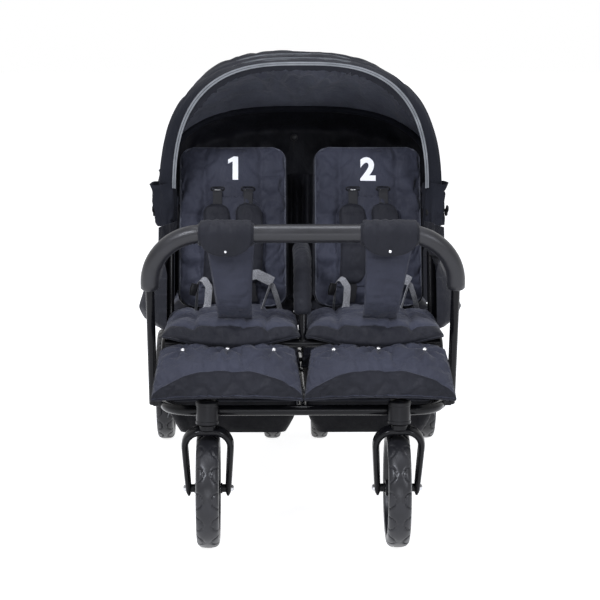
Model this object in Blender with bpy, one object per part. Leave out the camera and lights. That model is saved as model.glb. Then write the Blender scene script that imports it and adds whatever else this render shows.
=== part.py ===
"""Six-seat stroller: three rows of two seats on one tube chassis.

Metres, +Z up. The stroller faces -Y and stands on Z = 0, with the middle of
its length at Y = 0. Sizes along the length are given as distances behind the
front wheels' axle, and place() turns them into this frame.
"""
import math

import bmesh
import bpy
from mathutils import Matrix, Vector

for old in list(bpy.data.objects):
    bpy.data.objects.remove(old, do_unlink=True)

# Clearances
SEAT_GAP = 0.0003
RUNNING_GAP = 0.0005
FABRIC_GAP = 0.0012

# Front casters
FRONT_WHEEL_RADIUS = 0.130
FRONT_WHEEL_WIDTH = 0.050
FRONT_TRACK = 0.412
CASTER_TRAIL = 0.058
CASTER_BARREL_RADIUS = 0.025
CASTER_BARREL_BOTTOM = 0.284
CASTER_BARREL_TOP = 0.335
STEM_RADIUS = 0.009
FORK_WIDTH = 0.103
FORK_TIP_WIDTH = 0.085
FORK_CROWN_Z = 0.270
FORK_BAR_THICK = 0.012
FORK_BAR_DEEP = 0.028
FRONT_AXLE_RADIUS = 0.005
SPACER_RADIUS = 0.009
NUT_RADIUS = 0.0085
NUT_LENGTH = 0.006
BOLT_TIP = 0.001
STEM_SHORT = 0.010
FORK_TIP_BELOW_AXLE = 0.010
FORK_CORNER = 0.026
CASTER_CLAMP_WIDTH = 0.040
CASTER_CLAMP_WALL = 0.007

# Rear wheels
WHEELBASE = 1.170
REAR_WHEEL_RADIUS = 0.150
REAR_WHEEL_WIDTH = 0.045
REAR_INNER_X = 0.064
REAR_OUTER_X = 0.353
REAR_AXLE_RADIUS = 0.006
AXLE_TUBE_RADIUS = 0.011
SADDLE_RADIUS = 0.018
SADDLE_WIDTH = 0.019
WELD_SHARE = 0.8
TYRE_THICK = 0.030
HUB_WALL = 0.012
HUB_WEB_HALF = 0.006
RIM_DEPTH = 0.010

# Chassis rails
SIDE_X = 0.300
RAIL_RADIUS = 0.0115
RAIL_Z = 0.3065
RAIL_FRONT = -0.020
RAIL_FRONT_BEND = 0.070
RAIL_DROP_START = 1.060
RAIL_DROP_BEND = 0.060
CENTRE_RAIL_RADIUS = 0.0095

# Rows of seats
ROW_COUNT = 3
ROW_PITCH = 0.410
SEAT_X = 0.156
FRAME_RADIUS = 0.0095
SEAT_TUBE_Z = 0.445
SEAT_FRONT = 0.020
FRONT_CROSS_BACK = 0.032
SEAT_LEG_FOOT = 0.136
SEAT_LEG_BEND = 0.035
POST_FOOT = 0.235
HOOD_PIVOT_BACK = 0.345
HOOD_PIVOT_Z = 0.700
POST_ABOVE_PIVOT = 0.030
HINGE_BACK = 0.280
HINGE_Z = 0.455
HINGE_RADIUS = 0.008
ARM_FRONT_BACK = 0.075
ARM_TOP_Z = 0.622
ARM_BEND = 0.045
ARM_REAR_LIFT = 0.008
ARM_REAR_REACH = 0.010
ARM_SLEEVE_START = 0.42
ARM_SLEEVE_RADIUS = 0.020
FOOT_BAR_RADIUS = 0.005
FOOT_BAR_HALF = 0.270
FOOT_BAR_BEND = 0.030

# Soft seat parts
CUSHION_WIDTH = 0.290
CUSHION_REAR = 0.263
CUSHION_NOSE = -0.014
CUSHION_FLOOR = 0.0072
CUSHION_EDGE = 0.010
CUSHION_CROWN = 0.030
BACKREST_WIDTH = 0.242
BACKREST_TILT = math.radians(17.8)
BACKREST_START = 0.036
BACKREST_TOP_Z = 0.843
BACKREST_CORNER = 0.028
BACKREST_EDGE = 0.008
BACKREST_CROWN = 0.016
HINGE_SLEEVE_RADIUS = 0.0130
HINGE_SLEEVE_WIDTH = 0.030
HINGE_SLEEVE_X = 0.070
STAY_RADIUS = 0.006
STAY_LAP = 0.015
LEG_REST_TOP_WIDTH = 0.286
LEG_REST_LOW_WIDTH = 0.321
LEG_REST_X = 0.1625
LEG_REST_TOP = (0.002, 0.4405)
LEG_REST_LOW = (-0.100, 0.352)
LEG_REST_EDGE = 0.005
LEG_REST_BACK = 0.004
LEG_REST_CROWN = 0.013
LEG_REST_BULGE = 0.010
LEG_REST_ARCH = 0.07
FOOT_BAR_SHARE = 0.88

# Front guard arch
ARCH_X = 0.329
ARCH_RADIUS = 0.0095
ARCH_TOP_Z = 0.694
ARCH_TOP_BACK = -0.050
ARCH_FOOT_BACK = 0.085
ARCH_CORNER = 0.1165
ARCH_FOAM_RADIUS = 0.020
ARCH_FOAM_LOW_Z = 0.572
ARCH_CLAMP_LENGTH = 0.036
ARCH_CLAMP_WALL = 0.006
ARCH_FOOT_DROP = 0.004
ARCH_PLATE = 0.020

# Hoods
HOOP_RADIUS = 0.005
FRONT_HOOP_X = 0.3165
REAR_HOOP_X = 0.3275
FRONT_HOOP_HEIGHT = 0.353
REAR_HOOP_HEIGHT = 0.350
FRONT_HOOP_LEAN = math.radians(-12)
REAR_HOOP_LEAN = math.radians(50)
HOOP_SQUARENESS = 2.9
HOOP_STEPS = 10
HOOP_EYE_RADIUS = 0.009
HOOD_PIN_RADIUS = 0.003
HOOD_CLAMP_RADIUS = 0.017
WING_KNOB_RADIUS = 0.009
WING_KNOB_LENGTH = 0.010
HOOD_CLOTH = 0.003
HEM_LEAN = math.radians(-21)
VISOR_LEAN = math.radians(-16.5)
HEM_HALF_WIDTH = 0.283
HEM_HEIGHT = 0.370
ROOF_SAG = 0.006
HOOD_LOW_SHARE = 0.041
CURTAIN_LOW_BACK = 0.520
CURTAIN_LOW_Z = 0.720
CURTAIN_FOLD = 0.007
CURTAIN_TAPER = 0.96

# Push handle
UPRIGHT_X = 0.2765
UPRIGHT_RADIUS = 0.010
HANDLE_PIVOT_BACK = 1.400
HANDLE_PIVOT_Z = 0.800
HANDLE_ARM_RADIUS = 0.0095
HANDLE_LENGTH = 0.180
HANDLE_LEAN = math.radians(40)
HANDLE_CORNER = 0.060
HANDLE_HUB_RADIUS = 0.028
HANDLE_GRIP_RADIUS = 0.0175
UPRIGHT_CROSS_Z = 0.420
UPRIGHT_CROSS_RADIUS = 0.0085

# Brake
BRAKE_SLEEVE_RADIUS = 0.016
BRAKE_SLEEVE_X = 0.027
BRAKE_SLEEVE_WIDTH = 0.016
BRAKE_REACH = 0.165
BRAKE_RISE = 0.030
BRAKE_TREAD = (0.066, 0.036, 0.010)
BRAKE_ARM_RADIUS = 0.0045

# Baskets
BASKET_FRONT = 0.160
BASKET_REAR = 0.985
BASKET_RIM_INNER = 0.006
BASKET_RIM_OUTER = 0.303
BASKET_FLOOR_Z = 0.215
BASKET_TAPER = 0.028
BASKET_WALL = 0.003
BASKET_CORNER = 0.020
BASKET_MID_SHARE = 0.25

# Sizes that follow
HANDLE_TILT = math.atan2(HANDLE_PIVOT_BACK - WHEELBASE, HANDLE_PIVOT_Z - REAR_WHEEL_RADIUS)
HANDLE_END_BACK = HANDLE_PIVOT_BACK + HANDLE_LENGTH * math.sin(HANDLE_LEAN)
HANDLE_END_Z = HANDLE_PIVOT_Z + HANDLE_LENGTH * math.cos(HANDLE_LEAN)
REAR_REACH = HANDLE_END_BACK + HANDLE_GRIP_RADIUS
FRONT_AXLE_Y = (FRONT_WHEEL_RADIUS - REAR_REACH) / 2
REAR_HUB_HALF = REAR_WHEEL_WIDTH / 2 + 0.0005
SEAT_BOTTOM_Z = SEAT_TUBE_Z + FRAME_RADIUS + SEAT_GAP


def place(x, back, z):
    """A point given by its distance behind the front axle."""
    return Vector((x, FRONT_AXLE_Y + back, z))


def finish(name, colour, roughness, metallic=0.0):
    """One Principled material."""
    material = bpy.data.materials.new(name)
    material.use_nodes = True
    shader = material.node_tree.nodes["Principled BSDF"]
    shader.inputs["Base Color"].default_value = (*colour, 1.0)
    shader.inputs["Roughness"].default_value = roughness
    shader.inputs["Metallic"].default_value = metallic
    return material


STEEL_BLACK = finish("black_coated_steel", (0.012, 0.012, 0.013), 0.30, 0.2)
STEEL_BRIGHT = finish("zinc_steel", (0.55, 0.55, 0.56), 0.30, 1.0)
PLASTIC = finish("black_plastic", (0.014, 0.014, 0.016), 0.42)
RUBBER = finish("tyre_rubber", (0.016, 0.016, 0.018), 0.60)
FOAM = finish("handle_foam", (0.013, 0.013, 0.014), 0.70)
NYLON = finish("dark_nylon", (0.026, 0.028, 0.036), 0.75)
NYLON_HOOD = finish("hood_nylon", (0.018, 0.019, 0.024), 0.72)
MESH_CLOTH = finish("basket_cloth", (0.020, 0.021, 0.025), 0.80)


def solid_from(name, bm, material):
    """Link a bmesh as an object, with smooth shading up to 40 degree edges."""
    bmesh.ops.recalc_face_normals(bm, faces=bm.faces)
    mesh = bpy.data.meshes.new(name)
    bm.to_mesh(mesh)
    bm.free()
    mesh.materials.append(material)
    mesh.shade_smooth()
    mesh.set_sharp_from_angle(angle=math.radians(40))
    obj = bpy.data.objects.new(name, mesh)
    bpy.context.scene.collection.objects.link(obj)
    return obj


def evaluated_copy(obj, material):
    """Replace an object's data by its evaluated mesh."""
    bpy.context.view_layer.update()
    graph = bpy.context.evaluated_depsgraph_get()
    mesh = bpy.data.meshes.new_from_object(obj.evaluated_get(graph))
    mesh.materials.clear()
    mesh.materials.append(material)
    mesh.shade_smooth()
    mesh.set_sharp_from_angle(angle=math.radians(40))
    return mesh


def combine(obj, tools, operation):
    """Union or cut an object with others, which are used up."""
    material = obj.data.materials[0]
    for tool in tools:
        step = obj.modifiers.new(tool.name, "BOOLEAN")
        step.operation = operation
        step.object = tool
        step.solver = "EXACT"
    mesh = evaluated_copy(obj, material)
    obj.modifiers.clear()
    obj.data = mesh
    for tool in tools:
        bpy.data.objects.remove(tool, do_unlink=True)
    return obj


def join(obj, *tools):
    return combine(obj, tools, "UNION")


def cut(obj, *tools):
    return combine(obj, tools, "DIFFERENCE")


def hold_at(obj, point):
    """Put an object's origin at a point, with its mesh left where it is."""
    obj.data.transform(Matrix.Translation(-point))
    obj.location = point
    return obj


def copy_to(obj, name, shift):
    """A further object with the same mesh."""
    twin = obj.copy()
    twin.name = name
    twin.location = obj.location + Vector(shift)
    bpy.context.scene.collection.objects.link(twin)
    return twin


def rounded_path(corners, radii, arc_step=math.radians(23)):
    """Straight runs joined by arcs: one radius for each inner corner."""
    points = [Vector(corners[0])]
    for before, corner, after, radius in zip(corners, corners[1:], corners[2:], radii):
        run_in = (Vector(corner) - Vector(before)).normalized()
        run_out = (Vector(after) - Vector(corner)).normalized()
        turn = run_in.angle(run_out)
        start = Vector(corner) - run_in * radius * math.tan(turn / 2)
        inward = (run_out - run_in * run_in.dot(run_out)).normalized()
        steps = max(2, math.ceil(turn / arc_step))
        for index in range(steps + 1):
            angle = turn * index / steps
            along = run_in * radius * math.sin(angle)
            points.append(start + inward * radius * (1 - math.cos(angle)) + along)
    points.append(Vector(corners[-1]))
    return points


def tube(name, points, radius, material, fineness=2):
    """A capped round bar along a path."""
    curve = bpy.data.curves.new(name, "CURVE")
    curve.dimensions = "3D"
    curve.bevel_depth = radius
    curve.bevel_resolution = fineness
    curve.use_fill_caps = True
    spline = curve.splines.new("POLY")
    spline.points.add(len(points) - 1)
    for knot, point in zip(spline.points, points):
        knot.co = (*point, 1.0)
    guide = bpy.data.objects.new(name + "_path", curve)
    bpy.context.scene.collection.objects.link(guide)
    mesh = evaluated_copy(guide, material)
    bpy.data.objects.remove(guide, do_unlink=True)
    bm = bmesh.new()
    bm.from_mesh(mesh)
    bmesh.ops.remove_doubles(bm, verts=bm.verts, dist=1e-6)
    return solid_from(name, bm, material)


def turned(name, profile, centre, material, steps):
    """Spin a profile of (x, radius) pairs about an axis along X."""
    bm = bmesh.new()
    knots = [bm.verts.new(centre + Vector((x, 0, radius))) for x, radius in profile]
    pairs = list(zip(knots, knots[1:]))
    if profile[0][1] > 0:
        pairs.append((knots[-1], knots[0]))
    edges = [bm.edges.new(pair) for pair in pairs]
    bmesh.ops.spin(
        bm,
        geom=knots + edges,
        cent=centre,
        axis=(1, 0, 0),
        angle=2 * math.pi,
        steps=steps,
        use_merge=True,
    )
    bmesh.ops.remove_doubles(bm, verts=bm.verts, dist=1e-6)
    bmesh.ops.dissolve_degenerate(bm, edges=bm.edges, dist=1e-7)
    return solid_from(name, bm, material)


def rod(name, start, end, radius, material, sides=12):
    """A plain cylinder between two points."""
    run = Vector(end) - Vector(start)
    bm = bmesh.new()
    bmesh.ops.create_cone(
        bm,
        cap_ends=True,
        segments=sides,
        radius1=radius,
        radius2=radius,
        depth=run.length,
    )
    turn = Vector((0, 0, 1)).rotation_difference(run).to_matrix().to_4x4()
    middle = Matrix.Translation((Vector(start) + Vector(end)) / 2)
    bm.transform(middle @ turn)
    return solid_from(name, bm, material)


def block(name, centre, size, material):
    """A plain box."""
    bm = bmesh.new()
    bmesh.ops.create_cube(bm, size=1.0)
    bm.transform(Matrix.Translation(centre) @ Matrix.Diagonal((*size, 1.0)))
    return solid_from(name, bm, material)


def loft(name, rings, material):
    """Skin a list of equal rings and close both ends."""
    bm = bmesh.new()
    loops = [[bm.verts.new(point) for point in ring] for ring in rings]
    for low, high in zip(loops, loops[1:]):
        for index in range(len(low)):
            after = (index + 1) % len(low)
            bm.faces.new((low[index], low[after], high[after], high[index]))
    bm.faces.new(loops[0][::-1])
    bm.faces.new(loops[-1])
    return solid_from(name, bm, material)


def padded_panel(name, surface, across, along, floor, rise, material):
    """A closed pad: surface(u, v) gives its middle point and front normal."""
    bm = bmesh.new()
    front = []
    back = []
    for v in along:
        front_row = []
        back_row = []
        for u in across:
            point, normal = surface(u, v)
            front_row.append(bm.verts.new(point + normal * rise(u, v)))
            back_row.append(bm.verts.new(point - normal * floor(u, v)))
        front.append(front_row)
        back.append(back_row)
    rows = len(along) - 1
    columns = len(across) - 1
    for j in range(rows):
        for i in range(columns):
            bm.faces.new((front[j][i], front[j][i + 1], front[j + 1][i + 1], front[j + 1][i]))
            bm.faces.new((back[j][i], back[j + 1][i], back[j + 1][i + 1], back[j][i + 1]))
    for j in range(rows):
        bm.faces.new((front[j][0], front[j + 1][0], back[j + 1][0], back[j][0]))
        bm.faces.new((front[j][-1], back[j][-1], back[j + 1][-1], front[j + 1][-1]))
    for i in range(columns):
        bm.faces.new((front[0][i], back[0][i], back[0][i + 1], front[0][i + 1]))
        bm.faces.new((front[-1][i], front[-1][i + 1], back[-1][i + 1], back[-1][i]))
    return solid_from(name, bm, material)


def puff(share):
    """Rise of a stuffed pad from its edge, where share runs from -1 to 1."""
    return math.sqrt(max(0.0, 1 - abs(share) ** 2.6))


def channel(u, lines, depth, width):
    """Share of the rise that is left beside sewn channels."""
    nearest = min(abs(u - line) for line in lines)
    return 1 - depth * math.exp(-((nearest / width) ** 2))


# Chassis: one bent tube makes the front and both side rails
def rear_drop(x):
    """End of a rail in its saddle, and the corner where the rail starts to drop."""
    corner = place(x, RAIL_DROP_START, RAIL_Z)
    axle = place(x, WHEELBASE, REAR_WHEEL_RADIUS)
    run = (axle - corner).normalized()
    return axle - run * SADDLE_RADIUS * WELD_SHARE, corner


def axle_saddle(name, x):
    """Barrel that carries the rear axle tube."""
    half = SADDLE_WIDTH / 2
    start = place(x - half, WHEELBASE, REAR_WHEEL_RADIUS)
    end = place(x + half, WHEELBASE, REAR_WHEEL_RADIUS)
    return rod(name, start, end, SADDLE_RADIUS, STEEL_BLACK, 10)


def axle_bore(reach):
    """Cutter for what sits round the rear axle tube."""
    radius = (AXLE_TUBE_RADIUS + SEAT_GAP) / math.cos(math.pi / 10)
    start = place(-reach, WHEELBASE, REAR_WHEEL_RADIUS)
    end = place(reach, WHEELBASE, REAR_WHEEL_RADIUS)
    return rod("axle_bore", start, end, radius, STEEL_BLACK, 10)


left_end, left_drop = rear_drop(-SIDE_X)
right_end, right_drop = rear_drop(SIDE_X)
RAIL_CORNERS = (
    left_end,
    left_drop,
    place(-SIDE_X, RAIL_FRONT, RAIL_Z),
    place(SIDE_X, RAIL_FRONT, RAIL_Z),
    right_drop,
    right_end,
)
RAIL_BENDS = (RAIL_DROP_BEND, RAIL_FRONT_BEND, RAIL_FRONT_BEND, RAIL_DROP_BEND)
RAIL_PATH = rounded_path(RAIL_CORNERS, RAIL_BENDS)


def rail_cutter(name="rail_cutter"):
    """The side rails with their seat gap, for what is welded or clamped to them."""
    return tube(name, RAIL_PATH, RAIL_RADIUS + SEAT_GAP, STEEL_BLACK)


side_rails = tube("side_rails", RAIL_PATH, RAIL_RADIUS, STEEL_BLACK)
join(side_rails, axle_saddle("saddle_left", -SIDE_X), axle_saddle("saddle_right", SIDE_X))
cut(side_rails, axle_bore(SIDE_X + SADDLE_WIDTH))

centre_path = rounded_path(
    (place(0, RAIL_FRONT, RAIL_Z), place(0, RAIL_DROP_START, RAIL_Z), rear_drop(0)[0]),
    (RAIL_DROP_BEND,),
)
centre_rail = tube("centre_rail", centre_path, CENTRE_RAIL_RADIUS, STEEL_BLACK)
join(centre_rail, axle_saddle("saddle_centre", 0))
cut(centre_rail, axle_bore(SADDLE_WIDTH))
cut(centre_rail, rail_cutter())

# Rear axle: a tube between the wheels, turned down to a spindle inside each hub
AXLE_STEPS = (
    (-REAR_OUTER_X - REAR_HUB_HALF, REAR_AXLE_RADIUS),
    (-REAR_OUTER_X + REAR_HUB_HALF, AXLE_TUBE_RADIUS),
    (-REAR_INNER_X - REAR_HUB_HALF, REAR_AXLE_RADIUS),
    (-REAR_INNER_X + REAR_HUB_HALF, AXLE_TUBE_RADIUS),
    (REAR_INNER_X - REAR_HUB_HALF, REAR_AXLE_RADIUS),
    (REAR_INNER_X + REAR_HUB_HALF, AXLE_TUBE_RADIUS),
    (REAR_OUTER_X - REAR_HUB_HALF, REAR_AXLE_RADIUS),
    (REAR_OUTER_X + REAR_HUB_HALF, NUT_RADIUS),
)
AXLE_NUT = 0.0045
axle_end = REAR_OUTER_X + REAR_HUB_HALF + AXLE_NUT
axle_profile = [(-axle_end, 0.0), (-axle_end, NUT_RADIUS)]
radius_before = NUT_RADIUS
for step_x, step_radius in AXLE_STEPS:
    axle_profile += [(step_x, radius_before), (step_x, step_radius)]
    radius_before = step_radius
axle_profile += [(axle_end, NUT_RADIUS), (axle_end, 0.0)]
turned("rear_axle", axle_profile, place(0, WHEELBASE, REAR_WHEEL_RADIUS), STEEL_BRIGHT, 10)


# Wheels: a five-window moulded hub inside a solid tyre
def tyre_profile(radius, width, rim_radius):
    half = width / 2
    seat = rim_radius + SEAT_GAP
    return (
        (-half * 0.62, seat),
        (-half, seat + (radius - seat) * 0.50),
        (-half * 0.80, radius - half * 0.22),
        (-half * 0.36, radius),
        (half * 0.36, radius),
        (half * 0.80, radius - half * 0.22),
        (half, seat + (radius - seat) * 0.50),
        (half * 0.62, seat),
    )


def hub_profile(half_boss, bore, boss, web, rim_inner, rim_radius, rim_half):
    return (
        (-half_boss, bore),
        (-half_boss, boss),
        (-web, boss + 0.003),
        (-web, rim_inner - 0.002),
        (-rim_half, rim_radius),
        (rim_half, rim_radius),
        (web, rim_inner - 0.002),
        (web, boss + 0.003),
        (half_boss, boss),
        (half_boss, bore),
    )


HUB_WINDOWS = 5
WINDOW_SHARE = 0.66
WINDOW_LIP = 0.010
RIM_SHARE = 0.60
FRONT_WHEEL_STEPS = 20
REAR_WHEEL_STEPS = 16


def window_cutter(centre, inner, outer, index):
    """A rounded wedge between two spokes."""
    half = math.pi / HUB_WINDOWS * WINDOW_SHARE
    middle = 2 * math.pi * index / HUB_WINDOWS
    outline = []
    for share in (-1, 0, 1):
        outline.append((outer, middle + half * share))
    for share in (0.45, -0.45):
        outline.append((inner, middle + half * share))
    rings = []
    for x in (-0.05, 0.05):
        ring = []
        for radius, angle in outline:
            ring.append(centre + Vector((x, radius * math.sin(angle), radius * math.cos(angle))))
        rings.append(ring)
    return loft("window", rings, PLASTIC)


def wheel(prefix, suffix, centre, radius, width, hub_half, bore, rim_radius, steps):
    """Tyre and hub round an axle along X."""
    tyre = turned(
        f"{prefix}_tyre_{suffix}", tyre_profile(radius, width, rim_radius), centre, RUBBER, steps
    )
    boss = bore + HUB_WALL
    rim_inner = rim_radius - RIM_DEPTH
    rim_half = width / 2 * RIM_SHARE
    profile = hub_profile(hub_half, bore, boss, HUB_WEB_HALF, rim_inner, rim_radius, rim_half)
    hub = turned(f"{prefix}_hub_{suffix}", profile, centre, PLASTIC, steps)
    windows = []
    for index in range(HUB_WINDOWS):
        windows.append(window_cutter(centre, boss + WINDOW_LIP, rim_inner - WINDOW_LIP, index))
    cut(hub, *windows)
    hold_at(tyre, centre)
    hold_at(hub, centre)
    return tyre, hub


REAR_RIM_RADIUS = REAR_WHEEL_RADIUS - TYRE_THICK
FRONT_RIM_RADIUS = FRONT_WHEEL_RADIUS - TYRE_THICK
rear_bore = REAR_AXLE_RADIUS + RUNNING_GAP
rear_centre = place(-REAR_OUTER_X, WHEELBASE, REAR_WHEEL_RADIUS)
rear_pair = wheel(
    "rear",
    "1",
    rear_centre,
    REAR_WHEEL_RADIUS,
    REAR_WHEEL_WIDTH,
    REAR_WHEEL_WIDTH / 2,
    rear_bore,
    REAR_RIM_RADIUS,
    REAR_WHEEL_STEPS,
)
for number, wheel_x in ((2, -REAR_INNER_X), (3, REAR_INNER_X), (4, REAR_OUTER_X)):
    shift = (wheel_x + REAR_OUTER_X, 0, 0)
    copy_to(rear_pair[0], f"rear_tyre_{number}", shift)
    copy_to(rear_pair[1], f"rear_hub_{number}", shift)

FRONT_HUB_HALF = FRONT_WHEEL_WIDTH / 2 + 0.001
front_centre = place(-FRONT_TRACK / 2, 0, FRONT_WHEEL_RADIUS)
front_pair = wheel(
    "front",
    "left",
    front_centre,
    FRONT_WHEEL_RADIUS,
    FRONT_WHEEL_WIDTH,
    FRONT_HUB_HALF,
    FRONT_AXLE_RADIUS + RUNNING_GAP,
    FRONT_RIM_RADIUS,
    FRONT_WHEEL_STEPS,
)
copy_to(front_pair[0], "front_tyre_right", (FRONT_TRACK, 0, 0))
copy_to(front_pair[1], "front_hub_right", (FRONT_TRACK, 0, 0))


# Caster housings: a barrel for the fork's stem, clamped round the front rail
def fork_back(z):
    """The fork bar leans back from its crown to the axle."""
    share = (FORK_CROWN_Z - z) / (FORK_CROWN_Z - FRONT_WHEEL_RADIUS)
    return -CASTER_TRAIL * (1 - min(1.0, max(0.0, share)))


def fork_ring(centre, tangent):
    """An oval section of the fork's flattened bar."""
    deep = Vector((0, 1, 0))
    deep = (deep - tangent * tangent.dot(deep)).normalized()
    thin = tangent.cross(deep)
    ring = []
    for index in range(8):
        angle = 2 * math.pi * (index + 0.5) / 8
        wide = math.copysign(abs(math.cos(angle)) ** 0.7, math.cos(angle))
        narrow = math.copysign(abs(math.sin(angle)) ** 0.7, math.sin(angle))
        ring.append(
            centre + deep * wide * FORK_BAR_DEEP / 2 + thin * narrow * FORK_BAR_THICK / 2
        )
    return ring


fork_x = -FRONT_TRACK / 2
tip_z = FRONT_WHEEL_RADIUS - FORK_TIP_BELOW_AXLE
flat_corners = (
    Vector((-FORK_TIP_WIDTH / 2, 0, tip_z)),
    Vector((-FORK_WIDTH / 2, 0, FORK_CROWN_Z)),
    Vector((FORK_WIDTH / 2, 0, FORK_CROWN_Z)),
    Vector((FORK_TIP_WIDTH / 2, 0, tip_z)),
)
fork_path = []
for point in rounded_path(flat_corners, (FORK_CORNER, FORK_CORNER), math.radians(22)):
    fork_path.append(place(fork_x + point.x, fork_back(point.z), point.z))
fork_rings = []
for index, point in enumerate(fork_path):
    ahead = fork_path[min(index + 1, len(fork_path) - 1)]
    behind = fork_path[max(index - 1, 0)]
    fork_rings.append(fork_ring(point, (ahead - behind).normalized()))
fork = loft("caster_fork_left", fork_rings, STEEL_BLACK)
stem_top = CASTER_BARREL_TOP - STEM_SHORT
stem_centre = place(fork_x, -CASTER_TRAIL, FORK_CROWN_Z)
stem_end = place(fork_x, -CASTER_TRAIL, stem_top)
stem = rod("stem", stem_centre, stem_end, STEM_RADIUS, STEEL_BLACK, 8)
collar = rod(
    "collar",
    stem_centre,
    place(fork_x, -CASTER_TRAIL, CASTER_BARREL_BOTTOM - RUNNING_GAP),
    CASTER_BARREL_RADIUS * 0.72,
    STEEL_BLACK,
    10,
)
nut_start = FORK_TIP_WIDTH / 2 + FORK_BAR_THICK / 2
bolt_half = nut_start + NUT_LENGTH + BOLT_TIP
axle_left = place(fork_x - bolt_half, 0, FRONT_WHEEL_RADIUS)
axle_right = place(fork_x + bolt_half, 0, FRONT_WHEEL_RADIUS)
bolt = rod("axle_bolt", axle_left, axle_right, FRONT_AXLE_RADIUS, STEEL_BRIGHT, 8)
spacers = []
for side in (-1, 1):
    inner = place(fork_x + side * (FRONT_HUB_HALF + RUNNING_GAP), 0, FRONT_WHEEL_RADIUS)
    outer = place(fork_x + side * FORK_TIP_WIDTH / 2, 0, FRONT_WHEEL_RADIUS)
    spacers.append(rod(f"spacer_{side}", inner, outer, SPACER_RADIUS, PLASTIC, 8))
    nut_in = place(fork_x + side * nut_start, 0, FRONT_WHEEL_RADIUS)
    nut_out = place(fork_x + side * (nut_start + NUT_LENGTH), 0, FRONT_WHEEL_RADIUS)
    spacers.append(rod(f"nut_{side}", nut_in, nut_out, NUT_RADIUS, STEEL_BRIGHT, 6))
join(fork, stem, collar, bolt, *spacers)
hold_at(fork, place(fork_x, -CASTER_TRAIL, FORK_CROWN_Z))
copy_to(fork, "caster_fork_right", (FRONT_TRACK, 0, 0))

barrel_low = place(fork_x, -CASTER_TRAIL, CASTER_BARREL_BOTTOM)
barrel_high = place(fork_x, -CASTER_TRAIL, CASTER_BARREL_TOP)
housing = rod("caster_housing_left", barrel_low, barrel_high, CASTER_BARREL_RADIUS, PLASTIC, 20)
clamp_back = RAIL_FRONT + RAIL_RADIUS + CASTER_CLAMP_WALL
clamp_middle = (clamp_back - CASTER_TRAIL) / 2
clamp_height = 2 * (RAIL_RADIUS + CASTER_CLAMP_WALL)
clamp_size = (CASTER_CLAMP_WIDTH, clamp_back + CASTER_TRAIL, clamp_height)
clamp_centre = place(fork_x, clamp_middle, RAIL_Z + RUNNING_GAP)
join(housing, block("rail_clamp", clamp_centre, clamp_size, PLASTIC))
stem_bore_radius = (STEM_RADIUS + RUNNING_GAP) / math.cos(math.pi / 10)
bore_low = place(fork_x, -CASTER_TRAIL, CASTER_BARREL_BOTTOM - 0.01)
bore_high = place(fork_x, -CASTER_TRAIL, stem_top + 0.002)
cut(housing, rod("stem_bore", bore_low, bore_high, stem_bore_radius, PLASTIC, 10))
cut(housing, rail_cutter())
copy_to(housing, "caster_housing_right", (FRONT_TRACK, 0, 0))

# Front guard arch, clamped to the side rails, with its foam grip
ARCH_CORNERS = (
    place(-ARCH_X, ARCH_FOOT_BACK, RAIL_Z - ARCH_FOOT_DROP),
    place(-ARCH_X, ARCH_TOP_BACK, ARCH_TOP_Z),
    place(ARCH_X, ARCH_TOP_BACK, ARCH_TOP_Z),
    place(ARCH_X, ARCH_FOOT_BACK, RAIL_Z - ARCH_FOOT_DROP),
)
ARCH_PATH = rounded_path(ARCH_CORNERS, (ARCH_CORNER, ARCH_CORNER), math.radians(20))
front_arch = tube("front_arch", ARCH_PATH, ARCH_RADIUS, STEEL_BLACK)
feet = []
for side in (-1, 1):
    start = place(side * SIDE_X, ARCH_FOOT_BACK - ARCH_CLAMP_LENGTH / 2, RAIL_Z)
    end = place(side * SIDE_X, ARCH_FOOT_BACK + ARCH_CLAMP_LENGTH / 2, RAIL_Z)
    feet.append(rod(f"arch_clamp_{side}", start, end, RAIL_RADIUS + ARCH_CLAMP_WALL, STEEL_BLACK))
    plate_x = side * (SIDE_X + ARCH_X) / 2
    plate_size = (ARCH_X - SIDE_X, ARCH_PLATE, ARCH_PLATE)
    plate_centre = place(plate_x, ARCH_FOOT_BACK, RAIL_Z)
    feet.append(block(f"arch_foot_{side}", plate_centre, plate_size, STEEL_BLACK))
join(front_arch, *feet)
cut(front_arch, rail_cutter())

foam_path = [point for point in ARCH_PATH if point.z > ARCH_FOAM_LOW_Z]
leg_run = (ARCH_CORNERS[1] - ARCH_CORNERS[0]).normalized()
leg_drop = (foam_path[0].z - ARCH_FOAM_LOW_Z) / leg_run.z
foam_left = foam_path[0] - leg_run * leg_drop
foam_right = Vector((-foam_left.x, foam_left.y, foam_left.z))
foam_path = [foam_left] + foam_path + [foam_right]
arch_foam = tube("arch_foam_grip", foam_path, ARCH_FOAM_RADIUS, FOAM, 3)
foam_bore = tube("foam_bore", ARCH_PATH, ARCH_RADIUS + SEAT_GAP, FOAM)
cut(arch_foam, foam_bore)


# Row frames: posts, seat tubes, cross tubes, armrest and foot bar, welded
def leg_rest_line(v):
    """Middle line of a leg rest, from the seat's front down to the feet."""
    top = Vector((0, *LEG_REST_TOP))
    low = Vector((0, *LEG_REST_LOW))
    run = (low - top).normalized()
    normal = Vector((0, run.z, -run.y))
    bulge = LEG_REST_BULGE * 4 * v * (1 - v)
    return top.lerp(low, v) + normal * bulge, normal


def on_row(point):
    return place(point.x, point.y, point.z)


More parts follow.
